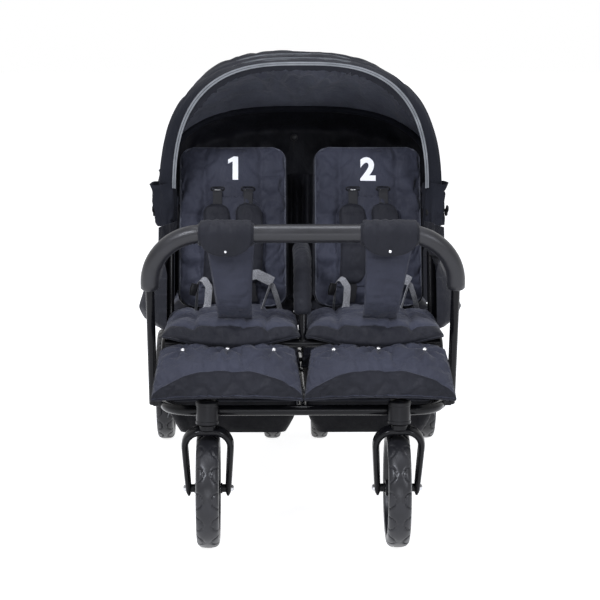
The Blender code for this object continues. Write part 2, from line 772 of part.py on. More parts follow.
post_run = Vector((0, HOOD_PIVOT_BACK - POST_FOOT, HOOD_PIVOT_Z - RAIL_Z)).normalized()
bar_middle, bar_normal = leg_rest_line(FOOT_BAR_SHARE)
bar_centre = bar_middle - bar_normal * (LEG_REST_BACK + SEAT_GAP + FOOT_BAR_RADIUS)
frame_parts = []
for side in (-1, 1):
    foot = place(side * SIDE_X, POST_FOOT, RAIL_Z)
    top = place(side * SIDE_X, HOOD_PIVOT_BACK, HOOD_PIVOT_Z) + post_run * POST_ABOVE_PIVOT
    frame_parts.append(tube(f"post_{side}", [foot, top], FRAME_RADIUS, STEEL_BLACK))
    seat_join = HINGE_BACK - (HINGE_Z - SEAT_TUBE_Z) * post_run.y / post_run.z
    seat_corners = (
        place(side * SIDE_X, seat_join, SEAT_TUBE_Z),
        place(side * SIDE_X, SEAT_FRONT, SEAT_TUBE_Z),
        place(side * SIDE_X, SEAT_LEG_FOOT, RAIL_Z),
    )
    seat_path = rounded_path(seat_corners, (SEAT_LEG_BEND,), math.radians(30))
    frame_parts.append(tube(f"seat_tube_{side}", seat_path, FRAME_RADIUS, STEEL_BLACK))
cross_left = place(-SIDE_X, FRONT_CROSS_BACK, SEAT_TUBE_Z)
cross_right = place(SIDE_X, FRONT_CROSS_BACK, SEAT_TUBE_Z)
frame_parts.append(tube("front_cross", [cross_left, cross_right], FRAME_RADIUS, STEEL_BLACK))
hinge_left = place(-SIDE_X, HINGE_BACK, HINGE_Z)
hinge_right = place(SIDE_X, HINGE_BACK, HINGE_Z)
frame_parts.append(tube("rear_cross", [hinge_left, hinge_right], HINGE_RADIUS, STEEL_BLACK))
ARM_CORNERS = (
    place(0, FRONT_CROSS_BACK, SEAT_TUBE_Z),
    place(0, ARM_FRONT_BACK, ARM_TOP_Z),
    place(0, HINGE_BACK + ARM_REAR_REACH, ARM_TOP_Z + ARM_REAR_LIFT),
    place(0, HINGE_BACK, HINGE_Z),
)
ARM_PATH = rounded_path(ARM_CORNERS, (ARM_BEND, ARM_BEND), math.radians(36))
frame_parts.append(tube("armrest", ARM_PATH, FRAME_RADIUS, STEEL_BLACK))
BAR_CORNERS = (
    place(-FOOT_BAR_HALF, FRONT_CROSS_BACK, SEAT_TUBE_Z),
    place(-FOOT_BAR_HALF, bar_centre.y, bar_centre.z),
    place(FOOT_BAR_HALF, bar_centre.y, bar_centre.z),
    place(FOOT_BAR_HALF, FRONT_CROSS_BACK, SEAT_TUBE_Z),
)
bar_path = rounded_path(BAR_CORNERS, (FOOT_BAR_BEND, FOOT_BAR_BEND), math.radians(45))
frame_parts.append(tube("foot_bar", bar_path, FOOT_BAR_RADIUS, STEEL_BLACK, 1))

KNOB_START = REAR_HOOP_X + HOOP_RADIUS + RUNNING_GAP
for side in (-1, 1):
    pivot_in = place(side * (SIDE_X - FRAME_RADIUS - 0.002), HOOD_PIVOT_BACK, HOOD_PIVOT_Z)
    clamp_out = side * (FRONT_HOOP_X - HOOP_RADIUS - RUNNING_GAP)
    pivot_out = place(clamp_out, HOOD_PIVOT_BACK, HOOD_PIVOT_Z)
    frame_parts.append(
        rod(f"hood_clamp_{side}", pivot_in, pivot_out, HOOD_CLAMP_RADIUS, PLASTIC, 8)
    )
    knob_start = place(side * KNOB_START, HOOD_PIVOT_BACK, HOOD_PIVOT_Z)
    knob_end = place(side * (KNOB_START + WING_KNOB_LENGTH), HOOD_PIVOT_BACK, HOOD_PIVOT_Z)
    frame_parts.append(
        rod(f"hood_pin_{side}", pivot_in, knob_end, HOOD_PIN_RADIUS, STEEL_BRIGHT, 6)
    )
    frame_parts.append(
        rod(f"wing_knob_{side}", knob_start, knob_end, WING_KNOB_RADIUS, PLASTIC, 6)
    )
row_frame = join(frame_parts[0], *frame_parts[1:])
cut(row_frame, rail_cutter())
row_frame.name = "row_frame_1"

# Padded sleeve on each armrest
sleeve_start = ARM_PATH[0].lerp(ARM_PATH[1], ARM_SLEEVE_START)
sleeve_path = [sleeve_start] + ARM_PATH[1:6]
arm_sleeve = tube("arm_sleeve_1", sleeve_path, ARM_SLEEVE_RADIUS, NYLON, 2)
cut(arm_sleeve, tube("arm_bore", ARM_PATH, FRAME_RADIUS + SEAT_GAP, NYLON))


# Seat cushions: crowned, with two sewn channels and a soft front nose
CHANNEL_LINES = (-0.55, 0.55)
ACROSS = (-1, -0.90, -0.55, -0.25, 0.25, 0.55, 0.90, 1)


def cushion_surface(u, v):
    back = CUSHION_REAR + (CUSHION_NOSE - CUSHION_REAR) * v
    drop = 0.009 * max(0.0, (v - 0.86) / 0.14) ** 2
    round_off = 0.010 * max(abs(2 * v - 1) ** 8, 0)
    half = CUSHION_WIDTH / 2 - round_off
    lean = 0.9 * max(0.0, (v - 0.86) / 0.14)
    normal = Vector((0, -math.sin(lean), math.cos(lean)))
    return place(u * half, back, SEAT_BOTTOM_Z + CUSHION_FLOOR - drop), normal


def cushion_rise(u, v):
    swell = puff(u) * puff(2 * v - 1)
    return CUSHION_EDGE + CUSHION_CROWN * swell * channel(u, CHANNEL_LINES, 0.30, 0.09)


def cushion_floor(u, v):
    return CUSHION_FLOOR


ALONG_CUSHION = (0, 0.06, 0.25, 0.55, 0.82, 0.93, 1)
cushion = padded_panel(
    "seat_cushion_1",
    cushion_surface,
    ACROSS,
    ALONG_CUSHION,
    cushion_floor,
    cushion_rise,
    NYLON,
)

# Backrests: crowned panels that turn on the rear cross tube
BACKREST_LENGTH = (BACKREST_TOP_Z - HINGE_Z) / math.cos(BACKREST_TILT)
BACK_UP = Vector((0, math.sin(BACKREST_TILT), math.cos(BACKREST_TILT)))
BACK_FRONT = Vector((0, -math.cos(BACKREST_TILT), math.sin(BACKREST_TILT)))


def backrest_surface(u, v):
    run = BACKREST_START + (BACKREST_LENGTH - BACKREST_START) * v
    near_end = min(run - BACKREST_START, BACKREST_LENGTH - run)
    inset = max(0.0, BACKREST_CORNER - near_end)
    side = BACKREST_CORNER - math.sqrt(BACKREST_CORNER**2 - inset**2)
    half = BACKREST_WIDTH / 2 - side
    point = place(u * half, HINGE_BACK, HINGE_Z) + BACK_UP * run
    return point, BACK_FRONT


def backrest_rise(u, v):
    swell = puff(u) * puff(2 * v - 1)
    return BACKREST_EDGE + BACKREST_CROWN * swell * channel(u, CHANNEL_LINES, 0.35, 0.09)


def backrest_floor(u, v):
    return BACKREST_EDGE + BACKREST_CROWN * 0.4 * puff(u) * puff(2 * v - 1)


ALONG_BACKREST = (0, 0.03, 0.12, 0.50, 0.88, 0.97, 1)
backrest = padded_panel(
    "backrest_1",
    backrest_surface,
    ACROSS,
    ALONG_BACKREST,
    backrest_floor,
    backrest_rise,
    NYLON,
)
hinge_parts = []
hinge_centre = place(0, HINGE_BACK, HINGE_Z)
for side in (-1, 1):
    sleeve_in = hinge_centre + Vector((side * HINGE_SLEEVE_X - HINGE_SLEEVE_WIDTH / 2, 0, 0))
    sleeve_out = sleeve_in + Vector((HINGE_SLEEVE_WIDTH, 0, 0))
    hinge_parts.append(
        rod(f"hinge_sleeve_{side}", sleeve_in, sleeve_out, HINGE_SLEEVE_RADIUS, PLASTIC, 8)
    )
    stay_low = hinge_centre + Vector((side * HINGE_SLEEVE_X, 0, 0)) + BACK_UP * 0.010
    stay_high = stay_low + BACK_UP * (BACKREST_START + STAY_LAP)
    hinge_parts.append(tube(f"stay_{side}", [stay_low, stay_high], STAY_RADIUS, PLASTIC, 1))
join(backrest, *hinge_parts)
bore_reach = Vector((BACKREST_WIDTH, 0, 0))
bore_radius = (HINGE_RADIUS + SEAT_GAP) / math.cos(math.pi / 8)
bore_left = hinge_centre - bore_reach
bore_right = hinge_centre + bore_reach
cut(backrest, rod("hinge_bore", bore_left, bore_right, bore_radius, PLASTIC, 8))
hold_at(backrest, hinge_centre)

# Leg rests: panels that widen downwards, with an arched lower edge
ACROSS_LEG = (-1, -0.90, -0.50, 0, 0.50, 0.90, 1)
ALONG_LEG = (0, 0.12, 0.45, 0.78, 0.94, 1)


def leg_rest_surface(u, v):
    shortened = v * (1 - LEG_REST_ARCH * (1 - u * u) * v)
    point, normal = leg_rest_line(shortened)
    half = (LEG_REST_TOP_WIDTH + (LEG_REST_LOW_WIDTH - LEG_REST_TOP_WIDTH) * v) / 2
    return on_row(Vector((u * half, point.y, point.z))), normal


def leg_rest_rise(u, v):
    return LEG_REST_EDGE + LEG_REST_CROWN * puff(u) * puff(2 * v - 1)


def leg_rest_floor(u, v):
    return LEG_REST_BACK


leg_rest = padded_panel(
    "leg_rest_1",
    leg_rest_surface,
    ACROSS_LEG,
    ALONG_LEG,
    leg_rest_floor,
    leg_rest_rise,
    NYLON,
)


# Hoods: two hoops on each pair of clamps, and one draped cloth over them
def hoop_point(half_width, height, lean, share):
    """A point of a squarish arch that stands on the hood's pivots."""
    angle = math.pi * share
    power = 2 / HOOP_SQUARENESS
    across = math.copysign(abs(math.cos(angle)) ** power, -math.cos(angle))
    rise = height * max(0.0, math.sin(angle)) ** power
    back = HOOD_PIVOT_BACK + rise * math.sin(lean)
    return place(across * half_width, back, HOOD_PIVOT_Z + rise * math.cos(lean))


def hoop_shares():
    """Even shares, with two more where the arch leaves its pivots."""
    shares = [0.0, 0.012]
    shares += [index / HOOP_STEPS for index in range(1, HOOP_STEPS)]
    return shares + [0.988, 1.0]


def hoop(name, half_width, height, lean):
    path = [hoop_point(half_width, height, lean, share) for share in hoop_shares()]
    arch = tube(name, path, HOOP_RADIUS, STEEL_BLACK, 1)
    eyes = []
    pin_reach = Vector((half_width + 0.02, 0, 0))
    pivot = place(0, HOOD_PIVOT_BACK, HOOD_PIVOT_Z)
    for side in (-1, 1):
        inner = place(side * (half_width - HOOP_RADIUS), HOOD_PIVOT_BACK, HOOD_PIVOT_Z)
        outer = place(side * (half_width + HOOP_RADIUS), HOOD_PIVOT_BACK, HOOD_PIVOT_Z)
        eyes.append(rod(f"eye_{side}", inner, outer, HOOP_EYE_RADIUS, STEEL_BLACK, 6))
    join(arch, *eyes)
    bore = (HOOD_PIN_RADIUS + RUNNING_GAP) / math.cos(math.pi / 6)
    cut(arch, rod("pin_bore", pivot - pin_reach, pivot + pin_reach, bore, STEEL_BLACK, 6))
    return hold_at(arch, pivot)


front_hoop = hoop("hood_front_hoop_1", FRONT_HOOP_X, FRONT_HOOP_HEIGHT, FRONT_HOOP_LEAN)
rear_hoop = hoop("hood_rear_hoop_1", REAR_HOOP_X, REAR_HOOP_HEIGHT, REAR_HOOP_LEAN)

COVER = HOOP_RADIUS + FABRIC_GAP
WRAP_LEAN = math.atan((COVER + FABRIC_GAP) / REAR_HOOP_HEIGHT)
MIDDLE_LEAN = (FRONT_HOOP_LEAN + REAR_HOOP_LEAN) / 2
MIDDLE_HEIGHT = (FRONT_HOOP_HEIGHT + REAR_HOOP_HEIGHT) / 2 + COVER - ROOF_SAG
HOOD_STATIONS = (
    (HEM_HALF_WIDTH, HEM_HEIGHT, HEM_LEAN),
    (FRONT_HOOP_X, FRONT_HOOP_HEIGHT + COVER * 1.3, VISOR_LEAN),
    (FRONT_HOOP_X + COVER * 1.5, FRONT_HOOP_HEIGHT + COVER, FRONT_HOOP_LEAN),
    (REAR_HOOP_X + COVER, MIDDLE_HEIGHT, MIDDLE_LEAN),
    (REAR_HOOP_X + COVER, REAR_HOOP_HEIGHT + COVER, REAR_HOOP_LEAN),
    (REAR_HOOP_X + COVER, REAR_HOOP_HEIGHT, REAR_HOOP_LEAN + WRAP_LEAN),
)
cloth_shares = [HOOD_LOW_SHARE]
cloth_shares += [index / HOOP_STEPS for index in range(1, HOOP_STEPS)]
cloth_shares.append(1 - HOOD_LOW_SHARE)
hood_mesh = bmesh.new()
cloth_rows = []
for half_width, height, lean in HOOD_STATIONS:
    row = [hoop_point(half_width, height, lean, share) for share in cloth_shares]
    cloth_rows.append([hood_mesh.verts.new(point) for point in row])
CURTAIN_FIRST = 3
CURTAIN_LAST = len(cloth_shares) - 1 - CURTAIN_FIRST
curtain_top = cloth_rows[-1][CURTAIN_FIRST:CURTAIN_LAST + 1]
curtain_rows = [curtain_top]
for drop in (0.5, 1.0):
    row = []
    for column, knot in enumerate(curtain_top):
        fold = CURTAIN_FOLD * drop * math.cos(math.pi * column)
        low = place(knot.co.x * CURTAIN_TAPER, CURTAIN_LOW_BACK + fold, CURTAIN_LOW_Z)
        row.append(hood_mesh.verts.new(knot.co.lerp(low, drop)))
    curtain_rows.append(row)
for rows in (cloth_rows, curtain_rows):
    for near, far in zip(rows, rows[1:]):
        for index in range(len(near) - 1):
            hood_mesh.faces.new((near[index], near[index + 1], far[index + 1], far[index]))
hood = solid_from("hood_fabric_1", hood_mesh, NYLON_HOOD)
thicken = hood.modifiers.new("cloth", "SOLIDIFY")
thicken.thickness = HOOD_CLOTH
outward = sum(face.normal.z * face.area for face in hood.data.polygons)
thicken.offset = math.copysign(1.0, outward)
thicken.use_even_offset = True
hood.data = evaluated_copy(hood, NYLON_HOOD)
hood.modifiers.clear()

# Rows: every row is the first one, a row pitch further back
SEAT_PIECES = (
    (cushion, "seat_cushion", SEAT_X),
    (backrest, "backrest", SEAT_X),
    (leg_rest, "leg_rest", LEG_REST_X),
)
for number in range(2, ROW_COUNT + 1):
    shift = (0, ROW_PITCH * (number - 1), 0)
    copy_to(row_frame, f"row_frame_{number}", shift)
    copy_to(arm_sleeve, f"arm_sleeve_{number}", shift)
    copy_to(front_hoop, f"hood_front_hoop_{number}", shift)
    copy_to(rear_hoop, f"hood_rear_hoop_{number}", shift)
    copy_to(hood, f"hood_fabric_{number}", shift)
for number in range(1, 2 * ROW_COUNT + 1):
    row_shift = ROW_PITCH * ((number - 1) // 2)
    side = -1 if number % 2 else 1
    for first, label, offset in SEAT_PIECES:
        if number > 1:
            copy_to(first, f"{label}_{number}", (side * offset, row_shift, 0))
for first, label, offset in SEAT_PIECES:
    first.location.x -= offset

# Push handle on two uprights from the rear axle
upright_parts = []
for side in (-1, 1):
    foot = place(side * UPRIGHT_X, WHEELBASE, REAR_WHEEL_RADIUS)
    hub = place(side * UPRIGHT_X, HANDLE_PIVOT_BACK, HANDLE_PIVOT_Z)
    foot += (hub - foot).normalized() * SADDLE_RADIUS * WELD_SHARE
    upright_parts.append(tube(f"upright_{side}", [foot, hub], UPRIGHT_RADIUS, STEEL_BLACK))
    upright_parts.append(axle_saddle(f"upright_saddle_{side}", side * UPRIGHT_X))
    hub_reach = Vector((UPRIGHT_RADIUS, 0, 0))
    upright_parts.append(
        rod(f"upright_hub_{side}", hub - hub_reach, hub + hub_reach, HANDLE_HUB_RADIUS, PLASTIC, 14)
    )
cross_back = WHEELBASE + (UPRIGHT_CROSS_Z - REAR_WHEEL_RADIUS) * math.tan(HANDLE_TILT)
cross_points = [place(side * UPRIGHT_X, cross_back, UPRIGHT_CROSS_Z) for side in (-1, 1)]
upright_parts.append(tube("upright_cross", cross_points, UPRIGHT_CROSS_RADIUS, STEEL_BLACK))
uprights = join(upright_parts[0], *upright_parts[1:])
cut(uprights, axle_bore(UPRIGHT_X + SADDLE_WIDTH))
uprights.name = "handle_uprights"

HANDLE_X = UPRIGHT_X - UPRIGHT_RADIUS - RUNNING_GAP - HANDLE_ARM_RADIUS
handle_corners = (
    place(-HANDLE_X, HANDLE_PIVOT_BACK, HANDLE_PIVOT_Z),
    place(-HANDLE_X, HANDLE_END_BACK, HANDLE_END_Z),
    place(HANDLE_X, HANDLE_END_BACK, HANDLE_END_Z),
    place(HANDLE_X, HANDLE_PIVOT_BACK, HANDLE_PIVOT_Z),
)
handle_path = rounded_path(handle_corners, (HANDLE_CORNER, HANDLE_CORNER))
push_handle = tube("push_handle", handle_path, HANDLE_ARM_RADIUS, STEEL_BLACK)
hubs = []
for side in (-1, 1):
    hub = place(side * HANDLE_X, HANDLE_PIVOT_BACK, HANDLE_PIVOT_Z)
    hub_reach = Vector((HANDLE_ARM_RADIUS, 0, 0))
    hubs.append(
        rod(f"handle_hub_{side}", hub - hub_reach, hub + hub_reach, HANDLE_HUB_RADIUS, PLASTIC, 14)
    )
join(push_handle, *hubs)
handle_pivot = place(0, HANDLE_PIVOT_BACK, HANDLE_PIVOT_Z)
grip_path = [point for point in handle_path if abs(point.x) < HANDLE_X - HANDLE_CORNER * 0.9]
grip = tube("handle_grip", grip_path, HANDLE_GRIP_RADIUS, FOAM, 3)
cut(grip, tube("grip_bore", handle_path, HANDLE_ARM_RADIUS + SEAT_GAP, FOAM))
hold_at(push_handle, handle_pivot)
hold_at(grip, handle_pivot)

# Brake pedal: two sleeves on the axle tube carry a tread between the inner wheels
axle_centre = place(0, WHEELBASE, REAR_WHEEL_RADIUS)
tread_centre = axle_centre + Vector((0, BRAKE_REACH, BRAKE_RISE))
pedal = block("brake_pedal", tread_centre, BRAKE_TREAD, PLASTIC)
pedal_parts = []
for side in (-1, 1):
    middle = axle_centre + Vector((side * BRAKE_SLEEVE_X, 0, 0))
    half = Vector((BRAKE_SLEEVE_WIDTH / 2, 0, 0))
    pedal_parts.append(
        rod(f"brake_sleeve_{side}", middle - half, middle + half, BRAKE_SLEEVE_RADIUS, STEEL_BLACK, 10)
    )
    arm_end = tread_centre + Vector((side * (BRAKE_SLEEVE_X - 0.002), 0, 0))
    pedal_parts.append(tube(f"brake_arm_{side}", [middle, arm_end], BRAKE_ARM_RADIUS, STEEL_BLACK, 1))
join(pedal, *pedal_parts)
pedal_bore = (AXLE_TUBE_RADIUS + RUNNING_GAP) / math.cos(math.pi / 10)
reach = Vector((BRAKE_SLEEVE_X + BRAKE_SLEEVE_WIDTH, 0, 0))
cut(pedal, rod("pedal_bore", axle_centre - reach, axle_centre + reach, pedal_bore, PLASTIC, 10))
hold_at(pedal, axle_centre)


# Baskets: open cloth trays hung under the rails on both sides of the centre rail
def basket_ring(inset, z, side):
    low_x = BASKET_RIM_INNER + inset
    high_x = BASKET_RIM_OUTER - inset
    front = BASKET_FRONT + inset
    rear = BASKET_REAR - inset
    corner = BASKET_CORNER
    outline = (
        (low_x + corner, front),
        (high_x - corner, front),
        (high_x, front + corner),
        (high_x, rear - corner),
        (high_x - corner, rear),
        (low_x + corner, rear),
        (low_x, rear - corner),
        (low_x, front + corner),
    )
    return [place(side * x, back, z) for x, back in outline]


BASKET_RIM_Z = RAIL_Z - RAIL_RADIUS - SEAT_GAP
BASKET_MID_Z = (BASKET_FLOOR_Z + BASKET_RIM_Z) / 2
BASKET_MID_INSET = BASKET_TAPER * BASKET_MID_SHARE
for side, label in ((-1, "left"), (1, "right")):
    rings = (
        basket_ring(BASKET_TAPER, BASKET_FLOOR_Z, side),
        basket_ring(BASKET_MID_INSET, BASKET_MID_Z, side),
        basket_ring(0, BASKET_RIM_Z, side),
        basket_ring(BASKET_WALL, BASKET_RIM_Z, side),
        basket_ring(BASKET_MID_INSET + BASKET_WALL, BASKET_MID_Z, side),
        basket_ring(BASKET_TAPER + BASKET_WALL, BASKET_FLOOR_Z + BASKET_WALL, side),
    )
    loft(f"basket_{label}", rings, MESH_CLOTH)
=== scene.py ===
import math

import bmesh
import bpy
from mathutils import Matrix, Vector, noise
from mathutils.bvhtree import BVHTree


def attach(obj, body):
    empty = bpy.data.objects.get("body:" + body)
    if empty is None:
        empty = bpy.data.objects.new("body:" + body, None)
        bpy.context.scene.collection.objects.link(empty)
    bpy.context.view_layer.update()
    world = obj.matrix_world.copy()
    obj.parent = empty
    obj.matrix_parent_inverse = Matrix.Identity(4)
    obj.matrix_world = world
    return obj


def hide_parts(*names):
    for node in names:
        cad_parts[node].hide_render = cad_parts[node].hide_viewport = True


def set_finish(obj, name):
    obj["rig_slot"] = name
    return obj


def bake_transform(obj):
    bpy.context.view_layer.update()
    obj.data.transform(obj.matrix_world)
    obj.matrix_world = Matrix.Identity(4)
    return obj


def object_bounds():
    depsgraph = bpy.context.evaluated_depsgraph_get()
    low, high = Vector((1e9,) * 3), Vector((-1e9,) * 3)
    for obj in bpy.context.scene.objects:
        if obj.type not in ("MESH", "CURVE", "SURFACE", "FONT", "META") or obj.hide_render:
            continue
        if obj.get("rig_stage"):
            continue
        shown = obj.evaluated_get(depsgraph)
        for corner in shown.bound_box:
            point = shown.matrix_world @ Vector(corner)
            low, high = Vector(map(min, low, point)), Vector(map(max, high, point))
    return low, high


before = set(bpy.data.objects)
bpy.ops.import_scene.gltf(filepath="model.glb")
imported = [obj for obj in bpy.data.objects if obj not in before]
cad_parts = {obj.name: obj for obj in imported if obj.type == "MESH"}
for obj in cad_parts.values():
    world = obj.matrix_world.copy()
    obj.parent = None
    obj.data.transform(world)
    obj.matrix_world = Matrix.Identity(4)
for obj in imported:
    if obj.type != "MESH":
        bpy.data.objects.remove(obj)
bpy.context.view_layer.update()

# The chassis: bent steel tubes, powder coated gloss black. One long tube makes
# the front and both side rails, a thinner one runs down the middle, and short
# barrels welded to their ends carry the rear axle. Lengths are in metres, given
# as distances behind the front wheels' axle, which lies at FRONT_AXLE_Y.
FRONT_AXLE_Y = -0.701601
WHEELBASE = 1.170
REAR_WHEEL_RADIUS = 0.150
SIDE_X = 0.300
RAIL_Z = 0.3065
RAIL_RADIUS = 0.0115
CENTRE_RAIL_RADIUS = 0.0095
RAIL_FRONT = -0.020
RAIL_DROP_START = 1.060
RAIL_DROP_BEND = 0.060
RAIL_FRONT_BEND = 0.070
SADDLE_RADIUS = 0.018
SADDLE_WIDTH = 0.019
WELD_SHARE = 0.8
ARC_STEP = math.radians(9)


def place(x, back, z):
    """A point given by its distance behind the front axle."""
    return Vector((x, FRONT_AXLE_Y + back, z))


def rounded_path(corners, radii, arc_step=ARC_STEP):
    """Straight runs joined by arcs: one radius for each inner corner."""
    points = [Vector(corners[0])]
    for before, corner, after, radius in zip(corners, corners[1:], corners[2:], radii):
        run_in = (Vector(corner) - Vector(before)).normalized()
        run_out = (Vector(after) - Vector(corner)).normalized()
        turn = run_in.angle(run_out)
        start = Vector(corner) - run_in * radius * math.tan(turn / 2)
        inward = (run_out - run_in * run_in.dot(run_out)).normalized()
        steps = max(2, math.ceil(turn / arc_step))
        for index in range(steps + 1):
            angle = turn * index / steps
            along = run_in * radius * math.sin(angle)
            points.append(start + inward * radius * (1 - math.cos(angle)) + along)
    points.append(Vector(corners[-1]))
    return points


def directions(points):
    """Travel direction at each point of a path."""
    found = []
    last = len(points) - 1
    for index in range(len(points)):
        ahead = points[min(index + 1, last)]
        behind = points[max(index - 1, 0)]
        found.append((ahead - behind).normalized())
    return found


def skin(bm, rings, closed=True, capped=True):
    """Faces between equal rings of points."""
    loops = [[bm.verts.new(point) for point in ring] for ring in rings]
    count = len(loops[0])
    steps = count if closed else count - 1
    for low, high in zip(loops, loops[1:]):
        for index in range(steps):
            after = (index + 1) % count
            bm.faces.new((low[index], low[after], high[after], high[index]))
    if capped:
        bm.faces.new(loops[0][::-1])
        bm.faces.new(loops[-1])


def blunt(value, power):
    """A sine or cosine raised to a power, with its sign: under 1 it squares a circle."""
    return math.copysign(abs(value) ** power, value)


def bar(bm, points, radius, sides=18, flat=1.0, side=None, corner=1.0):
    """A bar along a path: round, or an oval that is flat times as thin across side."""
    run = directions(points)
    if side is None:
        side = run[0].orthogonal()
    rings = []
    for index, (point, heading) in enumerate(zip(points, run)):
        side = (side - heading * heading.dot(side)).normalized()
        up = heading.cross(side)
        share = index / (len(points) - 1)
        reach = radius(share) if callable(radius) else radius
        ring = []
        for step in range(sides):
            angle = 2 * math.pi * step / sides
            wide = blunt(math.cos(angle), corner)
            tall = blunt(math.sin(angle), corner)
            ring.append(point + side * wide * reach + up * tall * reach * flat)
        rings.append(ring)
    skin(bm, rings)


def lathe(bm, profile, centre, axis=(1, 0, 0), steps=48):
    """A solid of revolution from (offset, radius) pairs along an axis."""
    axis = Vector(axis)
    first = axis.orthogonal().normalized()
    second = axis.cross(first)
    loops = []
    for offset, radius in profile:
        ring = []
        for step in range(steps):
            angle = 2 * math.pi * step / steps
            out = first * math.cos(angle) + second * math.sin(angle)
            ring.append(centre + axis * offset + out * max(radius, 1e-5))
        loops.append(ring)
    skin(bm, loops)


def disc_profile(start, end, radius, chamfer=0.001):
    """A short cylinder's profile, with softened rims."""
    return (
        (start, 0.0),
        (start, radius - chamfer),
        (start + chamfer, radius),
        (end - chamfer, radius),
        (end, radius - chamfer),
        (end, 0.0),
    )


def piece(name, bm, material, body, slot, stands_for=(), crease=35):
    """One finished piece on a body, standing for nodes of the frame."""
    bmesh.ops.remove_doubles(bm, verts=bm.verts, dist=2e-6)
    bmesh.ops.recalc_face_normals(bm, faces=bm.faces)
    mesh = bpy.data.meshes.new(name)
    bm.to_mesh(mesh)
    bm.free()
    mesh.materials.append(material)
    mesh.shade_smooth()
    mesh.set_sharp_from_angle(angle=math.radians(crease))
    obj = bpy.data.objects.new(name, mesh)
    bpy.context.scene.collection.objects.link(obj)
    if body:
        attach(obj, body)
    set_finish(obj, slot)
    if stands_for:
        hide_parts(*stands_for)
    return obj


def again(obj, name, shift, body, stands_for=()):
    """A further piece with the same mesh, moved by a shift."""
    twin = bpy.data.objects.new(name, obj.data)
    twin.location = obj.location + Vector(shift)
    bpy.context.scene.collection.objects.link(twin)
    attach(twin, body)
    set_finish(twin, obj["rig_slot"])
    if stands_for:
        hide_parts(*stands_for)
    return twin


def shader_nodes(name, colour, roughness, metallic=0.0, coat=0.0, sheen=0.0, gloss=0.2):
    """A Principled material with its constants set, and the nodes to link more to."""
    material = bpy.data.materials.new(name)
    material.use_nodes = True
    tree = material.node_tree
    shader = tree.nodes["Principled BSDF"]
    shader.inputs["Base Color"].default_value = (*colour, 1.0)
    shader.inputs["Roughness"].default_value = roughness
    shader.inputs["Metallic"].default_value = metallic
    shader.inputs["Specular IOR Level"].default_value = gloss
    shader.inputs["Coat Weight"].default_value = coat
    shader.inputs["Coat Roughness"].default_value = 0.12
    shader.inputs["Sheen Weight"].default_value = sheen
    shader.inputs["Sheen Roughness"].default_value = 0.5
    where = tree.nodes.new("ShaderNodeTexCoord")
    return material, tree, shader, where.outputs["Object"]


def speckle(tree, where, scale, detail=3.0, stretch=(1, 1, 1)):
    """A noise field over the object's own coordinates."""
    spread = tree.nodes.new("ShaderNodeMapping")
    spread.inputs["Scale"].default_value = stretch
    tree.links.new(where, spread.inputs["Vector"])
    field = tree.nodes.new("ShaderNodeTexNoise")
    field.inputs["Scale"].default_value = scale
    field.inputs["Detail"].default_value = detail
    tree.links.new(spread.outputs["Vector"], field.inputs["Vector"])
    return field.outputs["Fac"]


def shades(tree, field, low, high):
    """A value or colour that runs from low to high over a field."""
    ramp = tree.nodes.new("ShaderNodeValToRGB")
    ramp.color_ramp.elements[0].position = 0.3
    ramp.color_ramp.elements[1].position = 0.7
    for knot, value in zip(ramp.color_ramp.elements, (low, high)):
        knot.color = (*value, 1.0) if hasattr(value, "__len__") else (value, value, value, 1.0)
    tree.links.new(field, ramp.inputs["Fac"])
    return ramp.outputs["Color"]


def bumps(tree, field, distance, strength=1.0, under=None):
    """A bump of some metres, laid over an earlier one."""
    bump = tree.nodes.new("ShaderNodeBump")
    bump.inputs["Distance"].default_value = distance
    bump.inputs["Strength"].default_value = strength
    tree.links.new(field, bump.inputs["Height"])
    if under:
        tree.links.new(under, bump.inputs["Normal"])
    return bump.outputs["Normal"]


def wire(tree, shader, colour=None, roughness=None, normal=None):
    """Link fields to a shader's own sockets."""
    for label, field in (("Base Color", colour), ("Roughness", roughness), ("Normal", normal)):
        if field:
            tree.links.new(field, shader.inputs[label])


def coated_steel():
    """Gloss black powder coat: a fine orange peel and slight wear in its gloss."""
    material, tree, shader, where = shader_nodes(
        "gloss_black_steel", (0.005, 0.005, 0.006), 0.24, coat=0.05, gloss=0.12,
    )
    peel = speckle(tree, where, 900, 2)
    handling = speckle(tree, where, 26, 4)
    wire(
        tree, shader,
        colour=shades(tree, handling, (0.003, 0.003, 0.004), (0.006, 0.006, 0.007)),
        roughness=shades(tree, handling, 0.16, 0.30),
        normal=bumps(tree, peel, 0.00004),
    )
    return material


STEEL = coated_steel()


def rear_drop(x):
    """End of a rail in its saddle, and the corner where the rail starts to drop."""
    corner = place(x, RAIL_DROP_START, RAIL_Z)
    axle = place(x, WHEELBASE, REAR_WHEEL_RADIUS)
    run = (axle - corner).normalized()
    return axle - run * SADDLE_RADIUS * WELD_SHARE, corner


def saddle(bm, x):
    """A barrel round the axle tube, with a bore that the axle fills."""
    half = SADDLE_WIDTH / 2
    lathe(bm, disc_profile(-half, half, SADDLE_RADIUS), place(x, WHEELBASE, REAR_WHEEL_RADIUS), steps=32)


